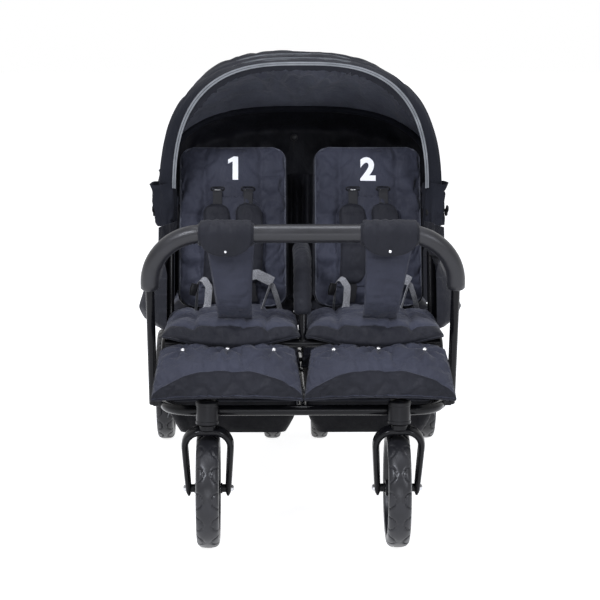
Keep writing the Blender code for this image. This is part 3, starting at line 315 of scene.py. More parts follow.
left_end, left_drop = rear_drop(-SIDE_X)
right_end, right_drop = rear_drop(SIDE_X)
rail_path = rounded_path(
    (
        left_end,
        left_drop,
        place(-SIDE_X, RAIL_FRONT, RAIL_Z),
        place(SIDE_X, RAIL_FRONT, RAIL_Z),
        right_drop,
        right_end,
    ),
    (RAIL_DROP_BEND, RAIL_FRONT_BEND, RAIL_FRONT_BEND, RAIL_DROP_BEND),
)
rails = bmesh.new()
bar(rails, rail_path, RAIL_RADIUS, 22)
saddle(rails, -SIDE_X)
saddle(rails, SIDE_X)
piece("long_rails", rails, STEEL, "chassis", "frame_steel", ["side_rails"])
middle = bmesh.new()
front_end = place(0, RAIL_FRONT + RAIL_RADIUS, RAIL_Z)
rear_end, middle_drop = rear_drop(0)
bar(middle, rounded_path((front_end, middle_drop, rear_end), (RAIL_DROP_BEND,)), CENTRE_RAIL_RADIUS)
saddle(middle, 0)
piece("middle_rail", middle, STEEL, "chassis", "frame_steel", ["centre_rail"])


# The rear axle: a zinc-plated tube across the chassis, turned down to a spindle
# inside each of the four hubs, with a nut at both ends. It keeps its solid.
def zinc_steel():
    """Bright plating with fine turning lines round the axle."""
    material, tree, shader, where = shader_nodes(
        "zinc_plated_steel", (0.55, 0.55, 0.56), 0.30, metallic=1.0, gloss=0.5,
    )
    turning = speckle(tree, where, 60, 2, (40, 1, 1))
    wire(
        tree, shader,
        roughness=shades(tree, turning, 0.24, 0.40), normal=bumps(tree, turning, 0.00005),
    )
    return material


ZINC = zinc_steel()
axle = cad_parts["rear_axle"]
axle.data.materials.clear()
axle.data.materials.append(ZINC)


# The wheels: solid satin rubber tyres with round grooves along both shoulders,
# on black moulded hubs with five spokes. The two front ones stand in the casters,
# and the four rear ones turn on the axle.
def tyre_rubber():
    """Satin black rubber with a faint bloom and moulding grain."""
    material, tree, shader, where = shader_nodes(
        "satin_tyre_rubber", (0.012, 0.012, 0.014), 0.4, sheen=0.05, gloss=0.3,
    )
    bloom = speckle(tree, where, 22, 5)
    grain = speckle(tree, where, 700, 2)
    wire(
        tree, shader,
        colour=shades(tree, bloom, (0.009, 0.009, 0.011), (0.018, 0.018, 0.021)),
        roughness=shades(tree, bloom, 0.28, 0.42),
        normal=bumps(tree, grain, 0.00008),
    )
    return material


def moulded_plastic():
    """Satin black nylon plastic with a fine spark-eroded grain."""
    material, tree, shader, where = shader_nodes(
        "satin_black_plastic", (0.008, 0.008, 0.009), 0.34, gloss=0.15,
    )
    grain = speckle(tree, where, 1100, 2)
    flow = speckle(tree, where, 30, 3)
    wire(
        tree, shader,
        colour=shades(tree, flow, (0.005, 0.005, 0.006), (0.010, 0.010, 0.011)),
        roughness=shades(tree, flow, 0.26, 0.40),
        normal=bumps(tree, grain, 0.00008),
    )
    return material


RUBBER = tyre_rubber()
PLASTIC = moulded_plastic()
TYRE_THICK = 0.030
GROOVE_REACH = 0.019
GROOVE_HALF = 0.0019
GROOVE_DEPTH = 0.0032
TREAD_KNOTS = 26
TREAD_BAND = 0.020
RIM_EDGE = 0.0005
RIM_LIP = 0.0100
WEB_HALF = 0.0062
WEB_DEPTH = 0.0145
BOSS_WALL = 0.012
BOSS_EDGE = 0.001
HUB_STEPS = 72
SPOKES = 5


def tyre_section(radius, width):
    """Half-round tread with straight flanks down to the rim, as (offset, radius) pairs."""
    half = width / 2
    rim = radius - TYRE_THICK
    crown = radius - half * 0.80
    section = [(-half * 0.62, rim + 0.0003), (-half * 0.93, rim + 0.004)]
    for index in range(TREAD_KNOTS + 1):
        angle = math.pi * index / TREAD_KNOTS
        offset = -half * blunt(math.cos(angle), 0.80)
        section.append((offset, crown + (radius - crown) * abs(math.sin(angle)) ** 0.62))
    section += [(half * 0.93, rim + 0.004), (half * 0.62, rim + 0.0003)]
    return section


def tyre_mesh(centre, radius, width, scallops, steps):
    """A tyre with half-round grooves in both shoulders, all the way round."""
    bm = bmesh.new()
    rings = []
    for offset, reach in tyre_section(radius, width):
        ring = []
        for step in range(steps):
            angle = 2 * math.pi * step / steps
            shift = (angle * scallops / (2 * math.pi)) % 1.0 - 0.5
            arc = shift * 2 * math.pi * radius / scallops
            side = width / 2 * 1.12 - abs(offset)
            gap = abs(math.hypot(arc, side) - GROOVE_REACH)
            out = reach
            if reach > radius - TREAD_BAND:
                out -= GROOVE_DEPTH * max(0.0, 1 - (gap / GROOVE_HALF) ** 2)
            ring.append(centre + Vector((offset, out * math.sin(angle), out * math.cos(angle))))
        rings.append(ring)
    skin(bm, rings + [rings[0]], capped=False)
    return bm


def hub_mesh(centre, radius, width, half_boss, bore):
    """Rim, boss and five spokes with softened edges."""
    rim = radius - TYRE_THICK
    rim_half = width / 2 * 0.60
    boss = bore + BOSS_WALL
    bm = bmesh.new()
    rim_profile = (
        (-rim_half, rim - RIM_LIP), (-rim_half, rim - RIM_EDGE), (-rim_half + RIM_EDGE, rim),
        (rim_half - RIM_EDGE, rim), (rim_half, rim - RIM_EDGE), (rim_half, rim - RIM_LIP),
        (WEB_HALF, rim - WEB_DEPTH), (-WEB_HALF, rim - WEB_DEPTH), (-rim_half, rim - RIM_LIP),
    )
    boss_profile = (
        (-half_boss, bore), (-half_boss, boss - BOSS_EDGE), (-half_boss + BOSS_EDGE, boss),
        (half_boss - BOSS_EDGE, boss), (half_boss, boss - BOSS_EDGE), (half_boss, bore),
        (-half_boss, bore),
    )
    for profile in (rim_profile, boss_profile):
        rings = []
        for offset, reach in profile:
            ring = []
            for step in range(HUB_STEPS):
                angle = 2 * math.pi * step / HUB_STEPS
                ring.append(centre + Vector((offset, reach * math.sin(angle), reach * math.cos(angle))))
            rings.append(ring)
        skin(bm, rings, capped=False)
    for index in range(SPOKES):
        angle = math.pi * (2 * index + 1) / SPOKES
        out = Vector((0, math.sin(angle), math.cos(angle)))
        across = Vector((0, math.cos(angle), -math.sin(angle)))
        near = centre + out * (boss - BOSS_EDGE)
        far = centre + out * (rim - 0.011)
        path = [near.lerp(far, share / 8) for share in range(9)]
        spoke = lambda share: 0.0165 - 0.0045 * math.sin(math.pi * share) + 0.006 * share
        bar(bm, path, spoke, sides=16, flat=0.42, side=across, corner=0.6)
    return bm


def wheel(end, label, centre, radius, width, scallops, steps, half_boss, bore):
    """One wheel's tyre and hub, on a body of their own."""
    body = f"{end}_wheel_{label}"
    tread = tyre_mesh(centre, radius, width, scallops, steps)
    spokes = hub_mesh(centre, radius, width, half_boss, bore)
    return (
        piece(f"{end}_tyre_solid_{label}", tread, RUBBER, body, "tyre", [f"{end}_tyre_{label}"]),
        piece(f"{end}_hub_moulded_{label}", spokes, PLASTIC, body, "plastic", [f"{end}_hub_{label}"]),
    )


def same_wheel(first, end, label, shift):
    """A further wheel like the first, moved by a shift."""
    for obj, form, node in zip(first, ("tyre_solid", "hub_moulded"), ("tyre", "hub")):
        again(obj, f"{end}_{form}_{label}", shift, f"{end}_wheel_{label}", [f"{end}_{node}_{label}"])


FRONT_WHEEL_RADIUS = 0.130
FRONT_WHEEL_WIDTH = 0.050
FRONT_TRACK = 0.412
REAR_WHEEL_WIDTH = 0.045
REAR_WHEELS_X = (-0.353, -0.064, 0.064, 0.353)
REAR_BORE = 0.0065
FRONT_BORE = 0.0055
rear_wheel = wheel(
    "rear", 1, place(REAR_WHEELS_X[0], WHEELBASE, REAR_WHEEL_RADIUS), REAR_WHEEL_RADIUS,
    REAR_WHEEL_WIDTH, 18, 252, REAR_WHEEL_WIDTH / 2, REAR_BORE,
)
for number, x in enumerate(REAR_WHEELS_X[1:], 2):
    same_wheel(rear_wheel, "rear", number, (x - REAR_WHEELS_X[0], 0, 0))
front_first = place(-FRONT_TRACK / 2, 0, FRONT_WHEEL_RADIUS)
front_wheel = wheel(
    "front", "left", front_first, FRONT_WHEEL_RADIUS,
    FRONT_WHEEL_WIDTH, 14, 308, FRONT_WHEEL_WIDTH / 2 + 0.001, FRONT_BORE,
)
same_wheel(front_wheel, "front", "right", (FRONT_TRACK, 0, 0))


# The casters: moulded plastic barrels clamped round the front rail, and under
# each a fork bent from one flattened steel bar, with a bolt through its tips,
# black spacers beside the hub and a bright lock nut.
CASTER_TRAIL = 0.058
FORK_CROWN_Z = 0.270
FORK_HALF = 0.0515
FORK_TIP_HALF = 0.0425
FORK_CORNER = 0.036
BARREL_RADIUS = 0.025
BARREL_WAIST = 0.0240
BACKWARDS = Vector((0, 1, 0))
UPWARDS = Vector((0, 0, 1))
caster_x = -FRONT_TRACK / 2
tip_z = FRONT_WHEEL_RADIUS - 0.0165


def limited(value):
    """The value, kept between 0 and 1."""
    return min(1.0, max(0.0, value))


def fine(points, step):
    """The same path with points closer together."""
    out = []
    for low, high in zip(points, points[1:]):
        count = max(1, round((high - low).length / step))
        out += [low.lerp(high, index / count) for index in range(count)]
    return out + [points[-1]]


def softened(full, rim):
    """Radius along a short collar whose ends are rounded off."""
    return lambda share: full if 0.1 < share < 0.9 else rim


def fork_point(x, z):
    """The bar leans back from its crown to the axle."""
    share = (FORK_CROWN_Z - z) / (FORK_CROWN_Z - FRONT_WHEEL_RADIUS)
    return place(caster_x + x, -CASTER_TRAIL * (1 - limited(share)), z)


fork_flat = rounded_path(
    (
        Vector((-FORK_TIP_HALF, 0, tip_z)),
        Vector((-FORK_HALF, 0, FORK_CROWN_Z)),
        Vector((FORK_HALF, 0, FORK_CROWN_Z)),
        Vector((FORK_TIP_HALF, 0, tip_z)),
    ),
    (FORK_CORNER, FORK_CORNER),
)
fork_path = [fork_point(point.x, point.z) for point in fine(fork_flat, 0.008)]


def fork_reach(share):
    """Half the bar's depth: full at the crown, rounded off at the tips."""
    end = min(share, 1 - share)
    return 0.0145 * (1 - 0.22 * math.exp(-end * 9)) * min(1.0, 0.35 + end * 30)


fork = bmesh.new()
bar(fork, fork_path, fork_reach, sides=24, flat=0.54, side=BACKWARDS, corner=0.72)
stem_foot = place(caster_x, -CASTER_TRAIL, FORK_CROWN_Z)
lathe(fork, disc_profile(0, 0.0135, 0.018, 0.002), stem_foot, UPWARDS, 40)
lathe(fork, disc_profile(0, 0.055, 0.009), stem_foot, UPWARDS, 24)
fork_obj = piece("fork_left", fork, STEEL, "caster_left", "frame_steel", ["caster_fork_left"])
again(fork_obj, "fork_right", (FRONT_TRACK, 0, 0), "caster_right", ["caster_fork_right"])
trims = bmesh.new()
bolts = bmesh.new()
hub_face = FRONT_WHEEL_WIDTH / 2 + 0.0015
SPACER = (hub_face, FORK_TIP_HALF, 0.009)
SPACER_FLANGE = (hub_face, hub_face + 0.004, 0.0115)
WASHER = (FORK_TIP_HALF + 0.0045, FORK_TIP_HALF + 0.0056, 0.0095, 0.0004)
LOCK_NUT = (FORK_TIP_HALF + 0.0056, FORK_TIP_HALF + 0.0118, 0.0080, 0.0012)
BOLT = (0, FORK_TIP_HALF + 0.0130, 0.0048)
for side in (-1, 1):
    for bm, disc, steps in (
        (trims, SPACER, 32), (trims, SPACER_FLANGE, 32),
        (bolts, WASHER, 32), (bolts, LOCK_NUT, 6), (bolts, BOLT, 20),
    ):
        lathe(bm, disc_profile(*disc), front_first, (side, 0, 0), steps)
trim_obj = piece("axle_spacers_left", trims, PLASTIC, "caster_left", "plastic")
bolt_obj = piece("axle_bolt_left", bolts, ZINC, "caster_left", "axle_steel")
again(trim_obj, "axle_spacers_right", (FRONT_TRACK, 0, 0), "caster_right")
again(bolt_obj, "axle_bolt_right", (FRONT_TRACK, 0, 0), "caster_right")

barrel_foot = place(caster_x, -CASTER_TRAIL, 0.284)
barrel = bmesh.new()
lathe(
    barrel,
    (
        (0, 0), (0, 0.0225), (0.0018, BARREL_RADIUS), (0.0075, BARREL_RADIUS), (0.0085, BARREL_WAIST),
        (0.0400, BARREL_WAIST), (0.0410, BARREL_RADIUS), (0.0480, BARREL_RADIUS), (0.0505, 0.0232),
        (0.0510, 0.0180), (0.0488, 0.0165), (0.0488, 0),
    ),
    barrel_foot, UPWARDS, 56,
)
clamp_centre = place(caster_x, (-CASTER_TRAIL + RAIL_FRONT + RAIL_RADIUS + 0.007) / 2, RAIL_Z)
clamp_path = [clamp_centre + Vector((shift, 0, 0)) for shift in (-0.020, -0.0185, 0.0185, 0.020)]
bar(barrel, clamp_path, softened(0.0278, 0.0265), sides=40, flat=0.66, side=BACKWARDS, corner=0.45)
barrel_obj = piece("caster_barrel_left", barrel, PLASTIC, "chassis", "plastic", ["caster_housing_left"])
again(barrel_obj, "caster_barrel_right", (FRONT_TRACK, 0, 0), "chassis", ["caster_housing_right"])


# The baskets: two open trays of coated cloth under the rails, sagging a little
# between the webbing that hangs them from the tubes, with a bound rim.
THREADS = 340
CREASE_DEPTH = 0.0085


def woven_nylon(name, low, high, weave=0.00010, sheen=0.12, rough=(0.50, 0.66)):
    """Plain-weave nylon: threads both ways, fine creases and slight shade changes."""
    material, tree, shader, where = shader_nodes(name, low, rough[0], sheen=sheen, gloss=0.12)
    shade = speckle(tree, where, 7, 5)
    creases = speckle(tree, where, 28, 5, (1.0, 1.0, 0.55))
    threads = []
    for turn in ((0.0, 0.6, 0.0), (0.0, 0.0, 1.2)):
        mapping = tree.nodes.new("ShaderNodeMapping")
        mapping.inputs["Rotation"].default_value = turn
        tree.links.new(where, mapping.inputs["Vector"])
        wave = tree.nodes.new("ShaderNodeTexWave")
        wave.inputs["Scale"].default_value = THREADS
        wave.inputs["Distortion"].default_value = 0.6
        tree.links.new(mapping.outputs["Vector"], wave.inputs["Vector"])
        threads.append(wave.outputs["Fac"])
    cross = tree.nodes.new("ShaderNodeMath")
    cross.operation = "MULTIPLY"
    tree.links.new(threads[0], cross.inputs[0])
    tree.links.new(threads[1], cross.inputs[1])
    wire(
        tree, shader,
        colour=shades(tree, shade, low, high),
        roughness=shades(tree, creases, *rough),
        normal=bumps(tree, cross.outputs["Value"], weave, 0.8, bumps(tree, creases, CREASE_DEPTH)),
    )
    return material


SEAT_NYLON = woven_nylon("slate_nylon", (0.025, 0.0265, 0.038), (0.042, 0.0450, 0.064))
PIPING = woven_nylon("piping_cord", (0.055, 0.058, 0.072), (0.085, 0.090, 0.110))
# The hood's outside: a darker copy of the seat nylon, painted shade on the canopy's top and sides, the
# funnels and the hoop channels.
HOOD_NYLON_PAINTED_SHADE = woven_nylon(
    "hood_nylon", (0.009, 0.010, 0.014), (0.015, 0.016, 0.022), sheen=0.02, rough=(0.74, 0.88),
)
# The canopy's inside: a lighter copy of the seat nylon, painted light on the lining under the hood.
LINING_PAINTED_LIGHT = woven_nylon("lining_nylon_painted_light", (0.085, 0.090, 0.112), (0.145, 0.152, 0.185))
# A darker nylon: the own colour of bindings, shells, covers and pads, and painted shade where it takes the
# cushions' noses and the leg rests' lips.
DARK_NYLON_AND_SHADE = woven_nylon("dark_nylon", (0.010, 0.0105, 0.014), (0.016, 0.0165, 0.022), sheen=0.06)
# A near-black copy of the nylon: painted shade on the curtains at the back of the hoods and between the
# backrests.
CURTAIN_SHADE_NYLON = woven_nylon("curtain_nylon_painted_shade", (0.006, 0.006, 0.008), (0.011, 0.0115, 0.015), sheen=0.03)
BASKET_CLOTH = woven_nylon(
    "basket_cloth", (0.003, 0.003, 0.004), (0.006, 0.006, 0.008), weave=0.0002, sheen=0.02,
)


def webbing_material(name, low, high):
    """Woven strap: close ribs across and a dull sheen."""
    material, tree, shader, where = shader_nodes(name, low, 0.62, sheen=0.15)
    ribs = speckle(tree, where, 480, 2, (1, 1, 3))
    wire(tree, shader, colour=shades(tree, ribs, low, high), normal=bumps(tree, ribs, 0.0003))
    return material


WEBBING = webbing_material("black_webbing", (0.008, 0.008, 0.010), (0.016, 0.016, 0.018))
GREY_WEBBING = webbing_material("grey_webbing", (0.05, 0.05, 0.055), (0.38, 0.38, 0.39))
BASKET_FRONT = 0.160
BASKET_REAR = 0.985
BASKET_RIM = (0.006, 0.303)
BASKET_FLOOR_Z = 0.215
BASKET_RIM_Z = 0.2947
BASKET_TAPER = 0.028
BASKET_WALL = 0.003
BASKET_CORNER = 0.020
BASKET_LEVELS = (0.0, 0.06, 0.2, 0.4, 0.6, 0.8, 0.93, 1.0)
STRAP_PITCH = 0.275
HANGER_STEPS = 8
SIDES = ((-1, "left"), (1, "right"))


def ripple(x, y, z):
    """A repeatable noise value at a place."""
    return noise.noise(Vector((x, y, z)))


def basket_ring(inset, z, side):
    """A rounded rectangle round one tray, with the cloth's sag between its straps."""
    low_x, high_x = BASKET_RIM[0] + inset, BASKET_RIM[1] - inset
    front, rear = BASKET_FRONT + inset, BASKET_REAR - inset
    gap = ((low_x + high_x) / 2, front)
    corners = (gap, (high_x, front), (high_x, rear), (low_x, rear), (low_x, front), gap)
    flat = [Vector((x, back, 0)) for x, back in corners]
    loop = rounded_path(flat, (BASKET_CORNER,) * 4, math.radians(18))[:-1]
    ring = []
    for start, end in zip(loop, loop[1:] + loop[:1]):
        steps = max(1, round((end - start).length / 0.030))
        for step in range(steps):
            point = start.lerp(end, step / steps)
            ring.append(place(side * point.x, point.y, z))
    return ring


def sagged(ring, share, side):
    """Rim droops between straps, and the walls bow inwards with small folds."""
    out = []
    for point in ring:
        back = point.y - FRONT_AXLE_Y
        wave = 0.5 - 0.5 * math.cos(2 * math.pi * (back - BASKET_FRONT) / STRAP_PITCH)
        fold = ripple(point.x * 14, back * 14, 3.0 * side) * 0.004 * (1 - share)
        centre_x = side * (BASKET_RIM[0] + BASKET_RIM[1]) / 2
        inward = math.copysign(1.0, centre_x - point.x)
        bow = 0.0035 * wave * math.sin(math.pi * share)
        drop = 0.007 * wave * share ** 2
        out.append(point + Vector((inward * (bow + max(0.0, fold)), 0, -drop)))
    return out


for side, label in SIDES:
    outer = []
    inner = []
    for share in BASKET_LEVELS:
        z = BASKET_FLOOR_Z + (BASKET_RIM_Z - BASKET_FLOOR_Z) * share
        inset = BASKET_TAPER * (1 - share) ** 1.7
        inner_z = max(z, BASKET_FLOOR_Z + BASKET_WALL)
        outer.append(sagged(basket_ring(inset, z, side), share, side))
        inner.append(sagged(basket_ring(inset + BASKET_WALL, inner_z, side), share, side))
    size = min(len(ring) for ring in outer + inner)
    ring_rows = []
    for ring in outer + inner[::-1]:
        ring_rows.append([ring[round(index * len(ring) / size) % len(ring)] for index in range(size)])
    tray = bmesh.new()
    skin(tray, ring_rows)
    piece(f"basket_tray_{label}", tray, BASKET_CLOTH, "chassis", "basket_fabric", [f"basket_{label}"], 50)
    rim = bmesh.new()
    rim_path = ring_rows[len(BASKET_LEVELS) - 1]
    bar(rim, rim_path + rim_path[:1], 0.0036, 10)
    piece(f"basket_binding_{label}", rim, DARK_NYLON_AND_SHADE, "chassis", "basket_fabric")
    hangers = bmesh.new()
    for back in (BASKET_FRONT + 0.004, 0.435, 0.710, BASKET_REAR - 0.004):
        for x, tube_radius in ((SIDE_X, RAIL_RADIUS), (0.0, CENTRE_RAIL_RADIUS)):
            if x == 0.0:
                low = place(side * 0.0125, back, RAIL_Z - 0.034)
            else:
                low = place(side * (x + 0.001), back, RAIL_Z - 0.050)
            wrap = [low]
            reach = tube_radius + 0.0012
            for step in range(HANGER_STEPS + 1):
                angle = math.pi * (1.0 - step / HANGER_STEPS)
                out = reach * math.cos(angle)
                wrap.append(place(side * (x + out), back, RAIL_Z + reach * math.sin(angle)))
            wrap.append(place(side * (x + tube_radius + 0.001), back, RAIL_Z - 0.030))
            bar(hangers, wrap, 0.010, sides=12, flat=0.09, side=BACKWARDS, corner=0.5)
    piece(f"basket_straps_{label}", hangers, GREY_WEBBING, "chassis", "basket_fabric")


# The row frames: each row's two posts, seat tubes, cross tubes, middle armrest
# and thin foot bar are one welded steel frame on the rails. Plastic clamps and
# wing screws at the posts' tops hold the hood.
ROW_PITCH = 0.410
ROWS = (1, 2, 3)
FRAME_RADIUS = 0.0095
REAR_CROSS_RADIUS = 0.008
SEAT_TUBE_Z = 0.445
FRONT_CROSS_BACK = 0.032
HOOD_PIVOT = (0.345, 0.700)
HINGE = (0.280, 0.455)
FRONT_HOOP_X = 0.3165
REAR_HOOP_X = 0.3275
HOOP_RADIUS = 0.005
LEG_REST_TOP = Vector((0, 0.002, 0.4405))
LEG_REST_LOW = Vector((0, -0.100, 0.352))
LEG_REST_BULGE = 0.010
POST_FOOT = 0.235
POST_ABOVE = 0.030
SEAT_TUBE_FOOT = 0.136
FOOT_BAR_HALF = 0.270
FOOT_BAR_RADIUS = 0.005
WING_STEPS = 5


def row_shift(row):
    """From the first row to a row's own place."""
    return Vector((0, ROW_PITCH * (row - 1), 0))


def leg_rest_line(v):
    """Middle line of a leg rest, from the seat's front down to the feet."""
    run = (LEG_REST_LOW - LEG_REST_TOP).normalized()
    normal = Vector((0, run.z, -run.y))
    return LEG_REST_TOP.lerp(LEG_REST_LOW, v) + normal * LEG_REST_BULGE * 4 * v * (1 - v), normal


post_run = Vector((0, HOOD_PIVOT[0] - POST_FOOT, HOOD_PIVOT[1] - RAIL_Z)).normalized()
bar_middle, bar_normal = leg_rest_line(0.88)
foot_bar = bar_middle - bar_normal * 0.0093
tubes = bmesh.new()
for side in (-1, 1):
    top = place(side * SIDE_X, *HOOD_PIVOT) + post_run * POST_ABOVE
    bar(tubes, [place(side * SIDE_X, POST_FOOT, RAIL_Z), top - post_run * 0.001, top], FRAME_RADIUS)
    seat_path = rounded_path(
        (
            place(side * SIDE_X, 0.2772, SEAT_TUBE_Z),
            place(side * SIDE_X, 0.020, SEAT_TUBE_Z),
            place(side * SIDE_X, SEAT_TUBE_FOOT, RAIL_Z),
        ),
        (0.035,),
    )
    bar(tubes, seat_path, FRAME_RADIUS)
    for back in (POST_FOOT, SEAT_TUBE_FOOT):
        clip = [place(side * SIDE_X, back + shift, RAIL_Z) for shift in (-0.016, -0.015, 0.015, 0.016)]
        bar(tubes, clip, softened(0.0150, 0.0140), 20)
for (back, z), radius in (((FRONT_CROSS_BACK, SEAT_TUBE_Z), FRAME_RADIUS), (HINGE, REAR_CROSS_RADIUS)):
    bar(tubes, [place(-SIDE_X, back, z), place(SIDE_X, back, z)], radius)
ARM_PATH = rounded_path(
    (
        place(0, FRONT_CROSS_BACK, SEAT_TUBE_Z),
        place(0, 0.075, 0.622),
        place(0, 0.290, 0.630),
        place(0, *HINGE),
    ),
    (0.045, 0.045),
)
bar(tubes, ARM_PATH, FRAME_RADIUS)
bar_path = rounded_path(
    (
        place(-FOOT_BAR_HALF, FRONT_CROSS_BACK, SEAT_TUBE_Z),
        place(-FOOT_BAR_HALF, foot_bar.y, foot_bar.z),
        place(FOOT_BAR_HALF, foot_bar.y, foot_bar.z),
        place(FOOT_BAR_HALF, FRONT_CROSS_BACK, SEAT_TUBE_Z),
    ),
    (0.030, 0.030),
)
bar(tubes, bar_path, FOOT_BAR_RADIUS, 12)
row_tubes = piece("row_tubes_1", tubes, STEEL, "chassis", "frame_steel", ["row_frame_1"])
clamps = bmesh.new()


def wing_reach(share):
    """A wing that widens from its screw and is rounded off at its tip."""
    return 0.0062 + 0.0030 * share - 0.0045 * share ** 6


for side in (-1, 1):
    pivot = place(0, *HOOD_PIVOT)
    axis = (side, 0, 0)
    lathe(clamps, disc_profile(0.2885, 0.3110, 0.0168, 0.0015), pivot, axis, 36)
    lathe(clamps, disc_profile(0.3335, 0.3400, 0.0088, 0.0015), pivot, axis, 28)
    for turn in (-1, 1):
        root = pivot + Vector((side * 0.337, 0, 0))
        tip = root + Vector((side * 0.003, turn * 0.0135, 0.0125))
        path = [root.lerp(tip, share / WING_STEPS) for share in range(WING_STEPS + 1)]
        broad = Vector((0, -turn * 0.0125, 0.0135))
        bar(clamps, path, wing_reach, sides=14, flat=0.36, side=broad, corner=0.7)
clamp_obj = piece("hood_clamps_1", clamps, PLASTIC, "chassis", "plastic")
pins = bmesh.new()
for side in (-1, 1):
    lathe(pins, disc_profile(0.300, 0.3335, 0.0029, 0.0004), place(0, *HOOD_PIVOT), (side, 0, 0), 16)
pin_obj = piece("hood_pins_1", pins, ZINC, "chassis", "axle_steel")

# The middle armrests' padded sleeves: nylon over foam, sewn along the underside.
SLEEVE_END = 0.243
sleeve_points = fine([ARM_PATH[0].lerp(ARM_PATH[1], 0.42)] + ARM_PATH[1:], 0.006)
sleeve_path = [point for point in sleeve_points if point.y < FRONT_AXLE_Y + SLEEVE_END]


def sleeve_reach(share):
    """Bunched cloth: soft rings that are tight at both ends."""
    end = min(share, 1 - share)
    swell = min(1.0, end * 26) ** 0.5
    return 0.0145 + 0.0052 * swell + 0.0006 * math.sin(share * 95) * swell


sleeve = bmesh.new()
bar(sleeve, sleeve_path, sleeve_reach, 28)
for knot in sleeve.verts:
    knot.co += Vector((0.0010, 0, 0)) * noise.noise(knot.co * 70)
sleeve_obj = piece("armrest_pad_1", sleeve, DARK_NYLON_AND_SHADE, "chassis", "seat_fabric", ["arm_sleeve_1"], 60)
for row in ROWS[1:]:
    shift = row_shift(row)
    again(row_tubes, f"row_tubes_{row}", shift, "chassis", [f"row_frame_{row}"])
    again(clamp_obj, f"hood_clamps_{row}", shift, "chassis")
    again(pin_obj, f"hood_pins_{row}", shift, "chassis")
    again(sleeve_obj, f"armrest_pad_{row}", shift, "chassis", [f"arm_sleeve_{row}"])


# The front guard arch: a steel tube clamped to the side rails, with a satin foam
# grip pushed over its top and both bends.
def grip_foam():
    """Closed-cell foam: satin skin with fine pores."""
    material, tree, shader, where = shader_nodes(
        "satin_black_foam", (0.008, 0.008, 0.010), 0.34, sheen=0.05, gloss=0.36,
    )
    pores = speckle(tree, where, 1300, 2)
    skin_shade = speckle(tree, where, 16, 4)
    wire(
        tree, shader,
        colour=shades(tree, skin_shade, (0.007, 0.007, 0.009), (0.013, 0.013, 0.016)),
        roughness=shades(tree, skin_shade, 0.30, 0.42),
        normal=bumps(tree, pores, 0.00012),
    )
    return material


FOAM = grip_foam()
ARCH_X = 0.329
ARCH_RADIUS = 0.0095
ARCH_TOP = (-0.050, 0.694)
ARCH_FOOT_BACK = 0.085
ARCH_CORNER = 0.1165
FOAM_RADIUS = 0.020
FOAM_LOW_Z = 0.572
ARCH_PATH = rounded_path(
    (
        place(-ARCH_X, ARCH_FOOT_BACK, RAIL_Z - 0.004),
        place(-ARCH_X, *ARCH_TOP),
        place(ARCH_X, *ARCH_TOP),
        place(ARCH_X, ARCH_FOOT_BACK, RAIL_Z - 0.004),
    ),
    (ARCH_CORNER, ARCH_CORNER),
    math.radians(6),
)
arch = bmesh.new()
bar(arch, ARCH_PATH, ARCH_RADIUS)
for side in (-1, 1):
    clip_backs = [ARCH_FOOT_BACK + shift for shift in (-0.018, -0.0165, 0.0165, 0.018)]
    clip = [place(side * SIDE_X, back, RAIL_Z) for back in clip_backs]
    bar(arch, clip, softened(0.0175, 0.0160), 28)
    link = [place(side * x, ARCH_FOOT_BACK, RAIL_Z) for x in (SIDE_X, ARCH_X - 0.002, ARCH_X)]
    bar(arch, link, 0.0105, sides=20, flat=0.95, side=BACKWARDS, corner=0.5)
piece("guard_arch", arch, STEEL, "chassis", "frame_steel", ["front_arch"])
foam_path = [point for point in ARCH_PATH if point.z > FOAM_LOW_Z]
leg_run = (place(-ARCH_X, *ARCH_TOP) - place(-ARCH_X, ARCH_FOOT_BACK, RAIL_Z - 0.004)).normalized()
foam_left = foam_path[0] - leg_run * ((foam_path[0].z - FOAM_LOW_Z) / leg_run.z)
foam_right = Vector((-foam_left.x, foam_left.y, foam_left.z))
foam_path = [foam_left, foam_left + leg_run * 0.002] + foam_path
foam_path += [foam_right + leg_run * 0.002, foam_right]
foam = bmesh.new()


def grip_reach(radius, ends):
    """Radius along a foam grip, a tenth less at its very ends."""
    return lambda share: radius * (0.90 + 0.10 * min(1.0, min(share, 1 - share) * ends))


bar(foam, fine(foam_path, 0.012), grip_reach(FOAM_RADIUS, 300), 32)
foam_obj = piece("arch_foam", foam, FOAM, "chassis", "foam", ["arch_foam_grip"], 60)


# The seat cushions: thin nylon pads, crowned, with two sewn channels and a soft
# nose over the front cross tube. A bound seam runs round their front edge.
END_SHARE = 0.55


def spaced(count):
    """Values from -1 to 1 that lie closer together towards both ends."""
    values = []
    for index in range(count + 1):
        even = 2 * index / count - 1
        values.append((1 - END_SHARE) * even + END_SHARE * math.sin(even * math.pi / 2))
    return values


def hill(distance, width):
    """A smooth hill: 1 in its middle, under 0.4 one width away."""
    return math.exp(-((distance / width) ** 2))


def puff(share, power=2.6):
    """Rise of a stuffed pad from its edge, where share runs from -1 to 1."""
    return math.sqrt(max(0.0, 1 - abs(share) ** power))


def channel(u, lines, depth, width):
    """Share of the rise that is left beside sewn channels."""
    nearest = min(abs(u - line) for line in lines)
    return 1 - depth * hill(nearest, width)


def crumple(point, scale, amount, seed=0.0):
    """A repeatable wrinkle height: soft swells with a few sharp creases."""
    x, y, z = point
    first = ripple(x * scale + seed, y * scale, z * scale * 0.55)
    second = ripple(x * scale * 2.3, y * scale * 2.3 + seed, z * scale * 1.4)
    line = ripple(x * scale * 0.9, y * scale * 0.6 - seed, z * scale * 0.8 + 4.0)
    crease = max(0.0, 1 - abs(line) * 5) ** 2
    return amount * (first + 0.45 * second - 0.75 * crease)


